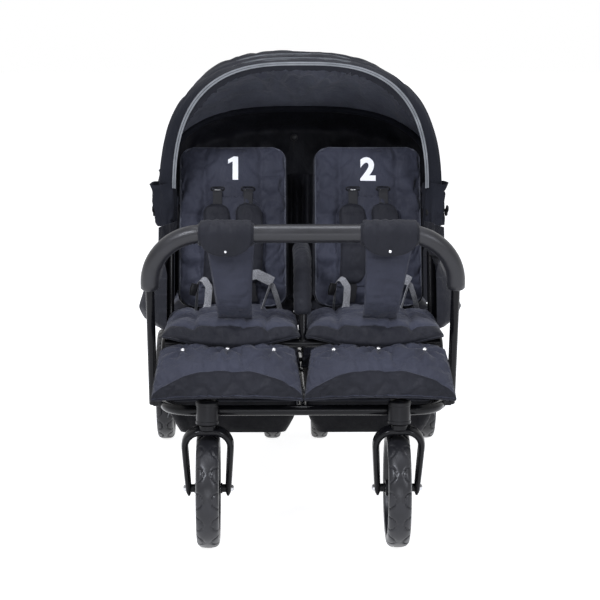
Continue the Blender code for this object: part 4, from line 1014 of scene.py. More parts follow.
def pad(surface, across, along, back, front, second=None):
    """A closed pad: surface(u, v) gives its middle point and front normal, and
    second(u, v) says where its front takes the second material."""
    bm = bmesh.new()
    layers = []
    for lift in (front, back):
        rows = []
        for v in along:
            row = []
            for u in across:
                point, normal = surface(u, v)
                reach = lift(u, v, point)
                row.append(bm.verts.new(point + normal * (reach if lift is front else -reach)))
            rows.append(row)
        layers.append(rows)
    upper, lower = layers
    for j in range(len(along) - 1):
        for i in range(len(across) - 1):
            face = bm.faces.new((upper[j][i], upper[j][i + 1], upper[j + 1][i + 1], upper[j + 1][i]))
            if second and second((across[i] + across[i + 1]) / 2, (along[j] + along[j + 1]) / 2):
                face.material_index = 1
            bm.faces.new((lower[j][i], lower[j + 1][i], lower[j + 1][i + 1], lower[j][i + 1]))
    last_i, last_j = len(across) - 1, len(along) - 1
    ring = [(0, i) for i in range(last_i + 1)]
    ring += [(j, last_i) for j in range(1, last_j + 1)]
    ring += [(last_j, i) for i in range(last_i - 1, -1, -1)]
    ring += [(j, 0) for j in range(last_j - 1, 0, -1)]
    for (j, i), (next_j, next_i) in zip(ring, ring[1:] + ring[:1]):
        bm.faces.new((upper[j][i], upper[next_j][next_i], lower[next_j][next_i], lower[j][i]))
    edge = [upper[j][i].co.lerp(lower[j][i].co, 0.5) for j, i in ring]
    return bm, edge


def piping(bm, edge, radius):
    """A cord sewn round a closed edge."""
    bar(bm, edge + edge[:1], radius, 8)


SEAT_X = 0.156
SEATS = (1, 2, 3, 4, 5, 6)
CUSHION_HALF = 0.145
CUSHION_REAR = 0.263
CUSHION_NOSE = -0.016
CUSHION_LOW_Z = 0.4548
CHANNELS = (-0.55, 0.55)
NOSE_SEAM = 0.78
SEAM_WIDTH = 0.016


def seat_shift(number, offset=SEAT_X):
    """From the middle of the first row to a seat's own place."""
    side = -1 if number % 2 else 1
    return Vector((side * offset, ROW_PITCH * ((number - 1) // 2), 0))


SIM_FRAMES = 20
SIM_PRESSURE = 4.0
SIM_SLACK = 0.06
SIM_BENDING = 0.15
SIM_FACING = 0.30
SEAM_NEAR = 0.003
SEAT_CAP = 0.006


def stuffed(obj, front, sewn, cap):
    """Cloth simulation with slack cloth under a little pressure. Points that face away
    or are sewn stay where they are, and no point moves farther than the cap."""
    mesh = obj.data
    start = [knot.co.copy() for knot in mesh.vertices]
    group = obj.vertex_groups.new(name="sewn")
    fixed = []
    for knot in mesh.vertices:
        if knot.normal.dot(front) < SIM_FACING or sewn(knot.co):
            fixed.append(knot.index)
    group.add(fixed, 1.0, "REPLACE")
    sim = obj.modifiers.new("Cloth", "CLOTH")
    sim.settings.vertex_group_mass = group.name
    sim.settings.use_pressure = True
    sim.settings.uniform_pressure_force = SIM_PRESSURE
    sim.settings.shrink_min = -SIM_SLACK
    sim.settings.bending_stiffness = SIM_BENDING
    sim.settings.effector_weights.gravity = 0.0
    sim.collision_settings.use_collision = False
    sim.collision_settings.use_self_collision = False
    sim.point_cache.frame_start = 1
    sim.point_cache.frame_end = SIM_FRAMES
    for frame_number in range(1, SIM_FRAMES + 1):
        bpy.context.scene.frame_set(frame_number)
    shape = obj.evaluated_get(bpy.context.evaluated_depsgraph_get()).data
    ends = [knot.co.copy() for knot in shape.vertices]
    obj.modifiers.remove(sim)
    obj.vertex_groups.clear()
    for knot, old, new in zip(mesh.vertices, start, ends):
        move = new - old
        if move.length > cap:
            move *= cap / move.length
        knot.co = old + move
    mesh.update()
    bpy.context.scene.frame_set(1)


def on_channels(half):
    """Says whether a point lies on a sewn channel of a pad with this half width."""
    return lambda co: abs(abs(co.x) - CHANNELS[1] * half) < SEAM_NEAR


def cushion_surface(u, v):
    share = (v + 1) / 2
    nose = CUSHION_NOSE + 0.030 * abs(u) ** 2.4
    back = CUSHION_REAR + (nose - CUSHION_REAR) * share
    dip = max(0.0, (share - 0.80) / 0.20)
    half = CUSHION_HALF - 0.012 * max(0.0, -v) ** 9 + 0.004 * dip
    droop = dip * (1 - 0.85 * abs(u) ** 2.2)
    lean = 1.05 * dip
    z = CUSHION_LOW_Z + 0.0072 - 0.019 * droop ** 2
    return place(u * half, back, z), Vector((0, -math.sin(lean), math.cos(lean)))


def cushion_front(u, v, point):
    swell = puff(u) * puff(v, 5.0)
    rise = 0.007 + 0.032 * swell * channel(u, CHANNELS, 0.26, 0.045)
    seam = hill(v - NOSE_SEAM, SEAM_WIDTH)
    nose = 0.0030 * ripple(point.x * 75, point.z * 90, 6.0) if v > NOSE_SEAM else 0.0
    return rise - 0.0060 * seam * swell + (crumple(point, 24, 0.0060) + nose) * swell


def cushion_back(u, v, point):
    return 0.0068 * min(1.0, 0.35 + puff(u))


# Past the nose seam the front takes the darker nylon: partly a darker panel, partly painted shade on the
# front-facing nose.
cushion_bm, cushion_edge = pad(
    cushion_surface, spaced(56), sorted(spaced(64) + [NOSE_SEAM]), cushion_back, cushion_front,
    lambda u, v: v > NOSE_SEAM,
)
cushion = piece("seat_pad_0", cushion_bm, SEAT_NYLON, None, "seat_fabric", crease=70)
cushion.data.materials.append(DARK_NYLON_AND_SHADE)
stuffed(cushion, UPWARDS, on_channels(CUSHION_HALF), SEAT_CAP)
edge_bm = bmesh.new()
piping(edge_bm, cushion_edge[::2], 0.0021)
cushion_piping = piece("seat_piping_0", edge_bm, DARK_NYLON_AND_SHADE, None, "seat_fabric")


def spread_over_seats(first, label, body, node=None, offset=SEAT_X):
    """Copies of a master piece on each seat. The master itself goes."""
    for number in SEATS:
        stands_for = [f"{node}_{number}"] if node else ()
        twin = again(first, f"{label}_{number}", seat_shift(number, offset), body.format(number), stands_for)
    bpy.data.objects.remove(first, do_unlink=True)


spread_over_seats(cushion, "seat_pad", "chassis", "seat_cushion")
spread_over_seats(cushion_piping, "seat_piping", "chassis")

# The backrests: nylon pads with rounded tops on a stiff shell, edged with bright
# piping and sewn with two channels. Sleeves at their feet turn on the rear cross
# tube. Each bears its seat's number, printed in white.
TILT = math.radians(17.8)
BACK_UP = Vector((0, math.sin(TILT), math.cos(TILT)))
BACK_FRONT = Vector((0, -math.cos(TILT), math.sin(TILT)))
BACK_START = 0.036
BACK_LENGTH = (0.843 - HINGE[1]) / math.cos(TILT)
BACK_HALF = 0.1205
BACK_CORNER = 0.030
BACK_CAP = 0.005
hinge_centre = place(0, *HINGE)


def rounded_half(half, corner, near_end):
    """Half width at some distance from an end with round corners."""
    inset = max(0.0, corner - near_end)
    return half - corner + math.sqrt(max(0.0, corner ** 2 - inset ** 2))


def back_outline(run):
    """A backrest's half width at a height, where both ends are rounded."""
    return rounded_half(BACK_HALF, BACK_CORNER, min(run - BACK_START, BACK_LENGTH - run))


def back_surface(u, v):
    run = BACK_START + (BACK_LENGTH - BACK_START) * (v + 1) / 2
    half = back_outline(run)
    return hinge_centre + Vector((u * half, 0, 0)) + BACK_UP * run, BACK_FRONT


def back_front(u, v, point):
    swell = puff(u, 3.4) * puff(v, 6.0)
    rise = 0.006 + 0.0165 * swell * channel(u, CHANNELS, 0.42, 0.05)
    tucks = ripple(point.x * 9, point.z * 34, 3.0) * hill(abs(u) - 0.78, 0.16)
    slack = 1 + 1.3 * max(0.0, -v)
    return rise + (crumple(point, 20, 0.0046 * slack, 5.0) + 0.0050 * tucks) * swell


def back_back(u, v, point):
    return 0.004 * min(1.0, 0.3 + puff(u))


back_bm, back_edge = pad(back_surface, spaced(56), spaced(76), back_back, back_front)
backrest = piece("back_pad_0", back_bm, SEAT_NYLON, None, "seat_fabric", crease=70)
stuffed(backrest, BACK_FRONT, on_channels(BACK_HALF), BACK_CAP)
back_tree = BVHTree.FromObject(backrest, bpy.context.evaluated_depsgraph_get())
edge_bm = bmesh.new()
piping(edge_bm, [point + BACK_FRONT * 0.0035 for point in back_edge[::2]], 0.0022)
back_piping = piece("back_piping_0", edge_bm, PIPING, None, "seat_fabric")


SHELL_REACH = 0.0052
BACK_FOOT_X = 0.070
BACK_FOOT_RADIUS = 0.0130


def shell_surface(u, v):
    run = BACK_START - 0.004 + (BACK_LENGTH - BACK_START + 0.008) * (v + 1) / 2
    half = back_outline(min(max(run, BACK_START), BACK_LENGTH)) + SHELL_REACH
    middle = hinge_centre + Vector((u * half, 0, 0)) + BACK_UP * run
    return middle - BACK_FRONT * SHELL_REACH, BACK_FRONT


shell_bm, _ = pad(
    shell_surface, spaced(30), spaced(40),
    lambda u, v, point: 0.0065 + crumple(point, 16, 0.0014),
    lambda u, v, point: 0.0022,
)
for side in (-1, 1):
    foot = hinge_centre + Vector((side * BACK_FOOT_X, 0, 0))
    lathe(shell_bm, disc_profile(-0.015, 0.015, BACK_FOOT_RADIUS), foot, steps=28)
    stay = [foot + BACK_UP * 0.010, foot + BACK_UP * 0.030, foot + BACK_UP * (BACK_START + 0.012)]
    bar(shell_bm, stay, 0.006, 14)
shell = piece("back_shell_0", shell_bm, DARK_NYLON_AND_SHADE, None, "seat_fabric", crease=50)
spread_over_seats(backrest, "back_pad", "seat_back_{}", "backrest")
spread_over_seats(back_piping, "back_piping", "seat_back_{}")
spread_over_seats(shell, "back_shell", "seat_back_{}")


def white_print():
    """Screen-printed ink: slightly rough, with the cloth's threads showing through."""
    material, tree, shader, where = shader_nodes("white_print", (0.80, 0.80, 0.81), 0.55)
    threads = speckle(tree, where, 900, 2)
    ink = shades(tree, threads, (0.88, 0.88, 0.89), (0.96, 0.96, 0.96))
    wire(tree, shader, colour=ink, normal=bumps(tree, threads, 0.0001))
    return material


WHITE = white_print()
DIGIT_FOOT = 0.7665
DIGIT_SIZE = 0.0565
CAPITAL_SHARE = 0.770
DIGIT_NARROW = 0.94
DIGIT_FACET = 0.006
INK_FOOT = 0.0002
INK_TOP = 0.0007


def on_back(x, run, lift=0.0):
    """A point on the backrest's front, lifted off its cloth."""
    start = hinge_centre + Vector((x, 0, 0)) + BACK_UP * run
    hit = back_tree.ray_cast(start + BACK_FRONT * 0.08, -BACK_FRONT)
    top = hit[0] if hit[0] else start
    return top + BACK_FRONT * lift


FIGURE_ONE = (
    (-0.0005, 0.0), (0.0130, 0.0), (0.0130, DIGIT_SIZE), (0.0025, DIGIT_SIZE),
    (-0.0115, 0.0485), (-0.0115, 0.0385), (-0.0005, 0.0440),
)


def lettered(bm, number):
    """The flat outline of a figure from the built-in font, made bolder."""
    curve = bpy.data.curves.new(f"figure_{number}", "FONT")
    curve.body = str(number)
    curve.align_x = "CENTER"
    curve.size = DIGIT_SIZE / CAPITAL_SHARE
    curve.offset = 0.0032
    curve.fill_mode = "FRONT"
    carrier = bpy.data.objects.new(f"figure_{number}", curve)
    bpy.context.scene.collection.objects.link(carrier)
    bpy.context.view_layer.update()
    drawn = carrier.evaluated_get(bpy.context.evaluated_depsgraph_get())
    bm.from_mesh(bpy.data.meshes.new_from_object(drawn))
    bpy.data.objects.remove(carrier, do_unlink=True)


def seat_digit(number):
    """A bold figure cut from thin ink and laid on the pad."""
    bm = bmesh.new()
    if number == 1:
        bm.faces.new([bm.verts.new((x, y, 0)) for x, y in FIGURE_ONE])
    else:
        lettered(bm, number)
    bmesh.ops.remove_doubles(bm, verts=bm.verts, dist=1e-5)
    bmesh.ops.triangulate(bm, faces=bm.faces)
    for _ in range(3):
        long_edges = [edge for edge in bm.edges if edge.calc_length() > DIGIT_FACET]
        bmesh.ops.subdivide_edges(bm, edges=long_edges, cuts=1)
        bmesh.ops.triangulate(bm, faces=bm.faces)
    foot_run = (DIGIT_FOOT - HINGE[1]) / math.cos(TILT)
    outline = bmesh.ops.extrude_face_region(bm, geom=list(bm.faces))
    raised = {item for item in outline["geom"] if isinstance(item, bmesh.types.BMVert)}
    for knot in bm.verts:
        lift = INK_TOP if knot in raised else INK_FOOT
        knot.co = on_back(knot.co.x * DIGIT_NARROW, foot_run + knot.co.y, lift)
    return bm


for number in SEATS:
    figure = piece(f"seat_number_{number}", seat_digit(number), WHITE, None, "seat_fabric", crease=50)
    figure.location = seat_shift(number)
    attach(figure, f"seat_back_{number}")


# The harness: flat webbing comes through two slots below the seat's number into
# padded shoulder sleeves that lie on the backrest, and goes on to the lap.
WEB_THICK = 0.0018


def strap(bm, path, half, side=(1, 0, 0)):
    """Flat webbing along a path, with half its width to each side."""
    bar(bm, path, half, sides=12, flat=WEB_THICK / 2 / half, side=Vector(side), corner=0.45)


def join_into(bm, part):
    """Add one mesh in the making to another."""
    mesh = bpy.data.meshes.new("part")
    part.to_mesh(mesh)
    bm.from_mesh(mesh)
    bpy.data.meshes.remove(mesh)


SLOT_RUN = 0.306
STRAP_X = 0.035
SHOULDER_WEB_HALF = 0.0105
LAP_WEB_HALF = 0.0125
SLOT_STEPS = 28
PAD_RUNS = (0.083, 0.268)
PAD_HALF = 0.0290
PAD_CORNER = 0.024
PLATE_HALF = 0.072
PLATE_CORNER = 0.045
PLATE_RUNS = (0.078, 0.286)


def plate_surface(u, v):
    run = PLATE_RUNS[0] + (PLATE_RUNS[1] - PLATE_RUNS[0]) * (v + 1) / 2
    half = rounded_half(PLATE_HALF, PLATE_CORNER, PLATE_RUNS[1] - run)
    return on_back(u * half, run, 0.0028), BACK_FRONT


plate_bm, plate_edge = pad(
    plate_surface, spaced(30), spaced(40),
    lambda u, v, point: 0.0030,
    lambda u, v, point: 0.0012 + 0.0030 * puff(u) * puff(v, 6.0) + crumple(point, 34, 0.0016, 2.0),
)
piping(plate_bm, plate_edge[::2], 0.0014)
plate = piece("harness_plate_0", plate_bm, SEAT_NYLON, None, "seat_fabric", crease=60)
spread_over_seats(plate, "harness_plate", "seat_back_{}")
sleeves = bmesh.new()
webs = bmesh.new()
slots = bmesh.new()
sliders = bmesh.new()
for side in (-1, 1):

    def shoulder_surface(u, v):
        run = PAD_RUNS[0] + (PAD_RUNS[1] - PAD_RUNS[0]) * (v + 1) / 2
        half = rounded_half(PAD_HALF, PAD_CORNER, min(run - PAD_RUNS[0], PAD_RUNS[1] - run))
        middle = side * (STRAP_X + 0.004 * (1 - v) / 2 + 0.003 * math.sin(v * 2.2 + side))
        spine = on_back(middle, run, 0.0085 + 0.0030 * math.sin(1.6 * v))
        return spine + Vector((u * half, 0, 0)), BACK_FRONT

    pad_bm, pad_edge = pad(
        shoulder_surface, spaced(16), spaced(40),
        lambda u, v, point: 0.0035,
        lambda u, v, point: 0.0030 + 0.0070 * puff(u) * puff(v, 6.0) + crumple(point, 42, 0.0012, side),
    )
    join_into(sleeves, pad_bm)
    piping(sleeves, pad_edge, 0.0013)
    top = [
        on_back(side * STRAP_X, SLOT_RUN + 0.001, -0.006),
        on_back(side * STRAP_X, SLOT_RUN, 0.002),
        on_back(side * STRAP_X, SLOT_RUN - 0.010, 0.0055),
        on_back(side * STRAP_X, PAD_RUNS[1] - 0.010, 0.0075),
    ]
    strap(webs, fine(top, 0.004), SHOULDER_WEB_HALF)
    low = [
        on_back(side * (STRAP_X + 0.004), PAD_RUNS[0] + 0.010, 0.0070),
        on_back(side * (STRAP_X + 0.006), PAD_RUNS[0] - 0.020, 0.0060),
        on_back(side * (STRAP_X + 0.010), PAD_RUNS[0] - 0.040, 0.0050),
    ]
    strap(webs, fine(low, 0.006), LAP_WEB_HALF)
    ring = []
    for step in range(SLOT_STEPS):
        angle = 2 * math.pi * step / SLOT_STEPS
        across = side * STRAP_X + 0.0150 * blunt(math.cos(angle), 0.5)
        run = SLOT_RUN + 0.0042 * blunt(math.sin(angle), 0.5)
        ring.append(on_back(across, run, 0.0006))
    bar(slots, ring + ring[:1], 0.0016, 8)
    slide_x = [side * STRAP_X + shift for shift in (-0.0065, -0.0060, 0.0060, 0.0065)]
    bar(sliders, [on_back(x, SLOT_RUN - 0.0035, 0.0045) for x in slide_x], 0.0010, 10)
shoulder = piece("shoulder_pad_0", sleeves, DARK_NYLON_AND_SHADE, None, "seat_fabric", crease=60)
web = piece("harness_web_0", webs, WEBBING, None, "seat_fabric")
slot_ring = piece("harness_slot_0", slots, PLASTIC, None, "plastic")
slider = piece("harness_slider_0", sliders, ZINC, None, "axle_steel")
spread_over_seats(shoulder, "shoulder_pad", "seat_back_{}")
spread_over_seats(web, "harness_web", "seat_back_{}")
spread_over_seats(slot_ring, "harness_slot", "seat_back_{}")
spread_over_seats(slider, "harness_slider", "seat_back_{}")

# Lap belts: grey webbing sewn into the seat, standing in loose loops, with a black
# side-release buckle. They lie free on the cushions.
belts = bmesh.new()
buckles = bmesh.new()
LAP_Z = 0.474
loop_path = rounded_path(
    (
        place(-0.084, 0.240, LAP_Z), place(-0.078, 0.228, 0.552), place(-0.066, 0.214, 0.566),
        place(-0.052, 0.206, 0.545), place(-0.056, 0.190, 0.500), place(-0.066, 0.150, LAP_Z + 0.014),
    ),
    (0.020, 0.010, 0.012, 0.020),
)
strap(belts, fine(loop_path, 0.005), 0.0085, side=(0.3, 1, 0))
vee_path = rounded_path(
    (
        place(0.062, 0.150, LAP_Z + 0.016), place(0.075, 0.196, 0.520), place(0.088, 0.212, 0.556),
        place(0.100, 0.222, 0.520), place(0.112, 0.240, LAP_Z),
    ),
    (0.020, 0.006, 0.020),
)
strap(belts, fine(vee_path, 0.005), 0.0060, side=(0.25, 1, 0))
top_path = [place(0.040, 0.246, 0.566), place(0.056, 0.236, 0.570), place(0.092, 0.240, 0.552)]
strap(belts, fine(top_path, 0.005), 0.0115, side=(0, 0.25, 1))
buckle_path = [place(-0.087 + 0.001 * shift, 0.205, 0.540 + 0.0045 * shift) for shift in range(-3, 4)]


def buckle_reach(share):
    """Half the buckle's width, widest in its middle."""
    return 0.0085 * (0.80 + 0.2 * math.sin(math.pi * share))


bar(buckles, buckle_path, buckle_reach, sides=20, flat=0.45, side=Vector((1, 0.2, 0)), corner=0.6)
belt = piece("lap_belt_0", belts, GREY_WEBBING, None, "seat_fabric")
buckle = piece("lap_buckle_0", buckles, PLASTIC, None, "plastic")
spread_over_seats(belt, "lap_belt", "chassis")
spread_over_seats(buckle, "lap_buckle", "chassis")

# The leg rests: nylon pads hung from the seat's front edge by three snaps, lying on
# the thin foot bar. A curved seam crosses their foot and a cord edges them.
LEG_X = 0.1625
LEG_TOP_HALF = 0.143
LEG_LOW_HALF = 0.1605
SNAPS = (-0.66, 0.0, 0.68)
SNAP_V = -0.70
SNAP_RADIUS = 0.0048
SNAP_DEPTH = 0.012
SNAP_NEAR = 0.010
SNAP_DOME = (
    (-0.002, 0.0), (-0.002, SNAP_RADIUS), (0.0026, SNAP_RADIUS),
    (0.0038, 0.0038), (0.0046, 0.0022), (0.0048, 0.0),
)
LIP_SEAM = 0.42
LEG_COLUMNS = 84


def lip_seam(u):
    """Where the curved seam crosses, from LIP_SEAM in the middle to near both low corners."""
    return LIP_SEAM + 0.50 * abs(u) ** 2.2


def leg_place(u, v):
    """Rows of the grid bend with the seam."""
    seam = lip_seam(u)
    if v < LIP_SEAM:
        return -1 + (v + 1) * (seam + 1) / (LIP_SEAM + 1)
    return seam + (v - LIP_SEAM) * (1 - seam) / (1 - LIP_SEAM)


def leg_surface(u, v):
    share = (leg_place(u, v) + 1) / 2
    top = -0.05 + 0.13 * abs(u) ** 6
    end = 1.065 - 0.055 * (1 - u * u)
    middle, normal = leg_rest_line(top + (end - top) * share)
    half = LEG_TOP_HALF + (LEG_LOW_HALF - LEG_TOP_HALF) * share
    return place(u * half, middle.y, middle.z), normal


def leg_front(u, v, point):
    seam_v = lip_seam(u)
    v = leg_place(u, v)
    if v < seam_v:
        level = math.sqrt(max(0.0, 1 - ((seam_v - v) / (seam_v + 1)) ** 3))
    else:
        level = 1 - 0.97 * ((v - seam_v) / (1 - seam_v)) ** 0.9
    swell = puff(u, 4.0) * level
    roll = 0.0075 * hill(v - seam_v, 0.34) * level
    rise = 0.004 + 0.0165 * swell + (roll + 0.0018 * hill(v - seam_v, SEAM_WIDTH)) * puff(u)
    for snap in SNAPS:
        across, down = (u - snap) * LEG_TOP_HALF, (v - SNAP_V) * 0.068
        reach = math.hypot(across, down)
        rise -= 0.0085 * hill(reach, 0.013) * swell
        rays = math.sin(7 * math.atan2(down, across) + 4 * snap)
        rise += 0.0058 * rays * hill(reach - 0.026, 0.022) * swell
    return rise + crumple(point, 22, 0.0056, 9.0) * swell


# Below the curved seam the lip takes the darker nylon: partly a darker panel, partly painted shade on the
# lip that faces down.
leg_bm, leg_edge = pad(
    leg_surface, spaced(LEG_COLUMNS), sorted(spaced(64) + [LIP_SEAM]),
    lambda u, v, point: 0.0035, leg_front,
    lambda u, v: v > LIP_SEAM,
)
leg = piece("leg_pad_0", leg_bm, SEAT_NYLON, None, "seat_fabric", crease=70)
leg.data.materials.append(DARK_NYLON_AND_SHADE)
seam_line = []
for u in spaced(LEG_COLUMNS):
    point, normal = leg_surface(u, LIP_SEAM)
    seam_line.append(point + normal * leg_front(u, LIP_SEAM, point))
snap_places = [leg_surface(snap, SNAP_V) for snap in SNAPS]
snap_spots = [point + normal * SNAP_DEPTH for point, normal in snap_places]


def on_leg_seams(co):
    """Says whether a point lies on the leg rest's curved seam or under a snap."""
    to_seam = min((co - spot).length for spot in seam_line)
    to_snap = min((co - spot).length for spot in snap_spots)
    return to_seam < SEAM_NEAR or to_snap < SNAP_NEAR


stuffed(leg, leg_surface(0, 0)[1], on_leg_seams, SEAT_CAP)
leg_tree = BVHTree.FromObject(leg, bpy.context.evaluated_depsgraph_get())
edge_bm = bmesh.new()
piping(edge_bm, leg_edge[::2], 0.0020)
leg_piping = piece("leg_piping_0", edge_bm, DARK_NYLON_AND_SHADE, None, "seat_fabric")
snap_bm = bmesh.new()
for point, normal in snap_places:
    hit = leg_tree.ray_cast(point + normal * 0.05, -normal)[0]
    lathe(snap_bm, SNAP_DOME, hit, normal, 24)
snaps = piece("leg_snaps_0", snap_bm, ZINC, None, "axle_steel")
spread_over_seats(leg, "leg_pad", "chassis", "leg_rest", offset=LEG_X)
spread_over_seats(leg_piping, "leg_piping", "chassis", offset=LEG_X)
spread_over_seats(snaps, "leg_snaps", "chassis", offset=LEG_X)

# The guard's covers: on each side a sleeve round the foam with a D-shaped flap and a
# snap, and a padded strap from it down between the child's legs to the seat.
GUARD_SLEEVES = ((1, -0.2236, -0.1053, -0.1555, -0.1465), (2, 0.121, 0.246, 0.184, 0.166))
FORWARDS = Vector((0, -1, 0))
STUD_DOME = ((0, 0), (0, 0.0034), (0.0014, 0.0030), (0.0022, 0.0016), (0.0022, 0))
STRAP_TOP_Z = 0.674
STRAP_LOW_Z = 0.494
FLAP_REACH = 0.0262
FLAP_ROUND = 0.5
for number, low_x, high_x, strap_x, seat_x in GUARD_SLEEVES:
    middle_x = (low_x + high_x) / 2
    half_x = (high_x - low_x) / 2
    wrap_path = fine([place(low_x, *ARCH_TOP), place(high_x, *ARCH_TOP)], 0.002)
    cover = bmesh.new()

    def cover_reach(share):
        end = min(1.0, min(share, 1 - share) * 16) ** 0.5
        pleats = ripple(share * 26, number * 3.0, 0.0)
        return 0.0206 + 0.0036 * end + 0.0016 * pleats * end

    bar(cover, wrap_path, cover_reach, 36)
    for knot in cover.verts:
        drop = max(0.0, ARCH_TOP[1] - knot.co.z)
        knot.co.z -= 0.0022 * drop / 0.02 + 0.0010 * noise.noise(knot.co * 60)

    def flap_surface(u, v):
        share = (v + 1) / 2
        round_share = min(1.0, share / FLAP_ROUND)
        drop = max(0.0, (share - FLAP_ROUND) / (1 - FLAP_ROUND))
        half = (half_x - 0.006) * math.sqrt(max(0.0, 1 - 0.92 * drop ** 2.6))
        angle = math.radians(100 - 112 * round_share)
        normal = Vector((0, -math.cos(angle), math.sin(angle)))
        point = place(middle_x + u * half, *ARCH_TOP) + normal * FLAP_REACH
        return point + Vector((0, 0.0045, -0.0395)) * drop, normal

    def flap_front(u, v, point):
        gathers = ripple(point.x * 95, v * 1.1, number * 2.0)
        return 0.0020 + 0.0014 * puff(u) + 0.0030 * puff(u) * gathers

    flap_bm, flap_edge = pad(
        flap_surface, spaced(40), spaced(34), lambda u, v, point: 0.0018, flap_front,
    )
    join_into(cover, flap_bm)
    piping(cover, flap_edge, 0.0012)
    cover_obj = piece(f"guard_cover_{number}", cover, DARK_NYLON_AND_SHADE, "chassis", "seat_fabric", crease=60)
    stud = bmesh.new()
    lathe(stud, STUD_DOME, place(middle_x, ARCH_TOP[0] - 0.0245, 0.6580), FORWARDS, 24)
    piece(f"guard_snap_{number}", stud, ZINC, "chassis", "axle_steel")

    def crotch_surface(u, v):
        share = (v + 1) / 2
        half = 0.050 * (1 - share) ** 1.5 + 0.0355 * (1 - (1 - share) ** 1.5)
        x = strap_x + (seat_x - strap_x) * share + u * half
        back = -0.045 + 0.030 * share + 0.055 * share ** 5
        z = STRAP_TOP_Z - (STRAP_TOP_Z - STRAP_LOW_Z) * share
        return place(x, back, z), Vector((0, -0.985, 0.17))

    def crotch_front(u, v, point):
        cross = 0.0026 * ripple(u, v * 13, number * 5.0)
        folds = crumple(point, 24, 0.0046, number * 3.0) + cross
        return 0.0035 + 0.0085 * puff(u) * puff(v, 7.0) + folds * puff(u)

    crotch_bm, crotch_edge = pad(
        crotch_surface, spaced(28), spaced(56), lambda u, v, point: 0.0035, crotch_front,
    )
    piping(crotch_bm, crotch_edge[::2], 0.0017)
    crotch = piece(f"crotch_strap_{number}", crotch_bm, SEAT_NYLON, "chassis", "seat_fabric", crease=60)

# The side guards: a sheet of nylon on each side of each row, held by the post and the
# seat tube. It stands up beside the seat and bags out over the tube.
def cloth(grid, thick, closed=False):
    """A thin closed shell on a grid of points."""
    bm = bmesh.new()
    skin(bm, grid, closed, capped=False)
    bmesh.ops.recalc_face_normals(bm, faces=bm.faces)
    bmesh.ops.solidify(bm, geom=list(bm.faces), thickness=thick)
    return bm


GUARD_LINE = (
    (0.3010, 0.458), (0.330, 0.462), (0.354, 0.476), (0.364, 0.502), (0.356, 0.536),
    (0.338, 0.572), (0.318, 0.606), (0.302, 0.634), (0.294, 0.658), (0.291, 0.682),
)
GUARD_STEPS = 32
GUARD_BACKS = (0.100, 0.318)
TUBE_SIDE = 0.3005
NYLON_THICK = 0.0016
for side, label in SIDES:
    line = [Vector((side * x, 0, z)) for x, z in GUARD_LINE]
    line = fine(rounded_path(line, (0.012,) * (len(line) - 2)), 0.005)
    grid = []
    for step in range(GUARD_STEPS + 1):
        share = step / GUARD_STEPS
        row = []
        for index, point in enumerate(line):
            up = index / (len(line) - 1)
            slope = 0.020 + 0.075 * up ** 1.5
            back = GUARD_BACKS[0] + slope + (GUARD_BACKS[1] - GUARD_BACKS[0] - slope) * share
            bulge = math.sin(math.pi * share) ** 0.6
            reach = abs(point.x)
            if reach > TUBE_SIDE:
                reach = TUBE_SIDE + (reach - TUBE_SIDE) * bulge
            slant = limited((up - 0.62) / 0.25)
            x = side * (reach + slant * (0.286 + 0.034 * (1 - share) - reach))
            fold = crumple(Vector((point.x, back, point.z)), 17, 0.0042, side * 4.0)
            row.append(place(x + fold * bulge, back, point.z + 0.4 * fold))
        grid.append(row)
    guard_bm = cloth(grid, NYLON_THICK)
    guard = piece(f"side_guard_{label}_1", guard_bm, DARK_NYLON_AND_SHADE, "chassis", "seat_fabric", crease=70)
    for row in ROWS[1:]:
        twin = again(guard, f"side_guard_{label}_{row}", row_shift(row), "chassis")


# The hoods: thin steel hoops on two pivots per row. The rear hoop is fixed and the
# front one folds back. Nylon is sewn over both, with a curtain behind, reflective
# tape along the front hem, and funnels over the clamps.
HOOP_POWER = 2 / 2.9
COVER = 0.0062
FRONT_HOOP = (FRONT_HOOP_X, 0.353, math.radians(-12))
REAR_HOOP = (REAR_HOOP_X, 0.350, math.radians(50))
HEM = (0.291, 0.370, math.radians(-21))
CLOTH_ENDS = (0.024, 0.976)
DENSE = 3000
HOOP_STEPS = 72
CANOPY_THICK = 0.0018
TAPE_THICK = 0.0006
TAPE_FRONT = 0.0030
CURTAIN_FOOT = (0.524, 0.722)
CURTAIN_COLUMNS = 130
CURTAIN_ROWS = 30
GAP_COLUMNS = 40
GAP_ROWS = 36
GAP_HALF = 0.050
FUNNEL_RINGS = 20
FUNNEL_STEPS = 48
BUTTON = ((0, 0), (0, 0.0085), (0.002, 0.0080), (0.004, 0.0040), (0.0042, 0))


def hoop_point(half, height, lean, share):
    """A point of a squarish arch that leans about the hood's pivots."""
    angle = math.pi * limited(share)
    across = blunt(-math.cos(angle), HOOP_POWER)
    rise = height * abs(math.sin(angle)) ** HOOP_POWER
    back, z = HOOD_PIVOT
    return place(across * half, back + rise * math.sin(lean), z + rise * math.cos(lean))


def even_shares(count, first=CLOTH_ENDS[0], last=CLOTH_ENDS[1]):
    """Shares of the arch whose points lie equally far apart."""
    dense = [first + (last - first) * index / DENSE for index in range(DENSE + 1)]
    lengths = [0.0]
    points = [hoop_point(0.330, 0.355, 0.0, share) for share in dense]
    for low, high in zip(points, points[1:]):
        lengths.append(lengths[-1] + (high - low).length)
    shares = []
    spot = 0
    for index in range(count + 1):
        goal = lengths[-1] * index / count
        while spot < DENSE and lengths[spot] < goal - 1e-9:
            spot += 1
        shares.append(dense[spot])
    return shares


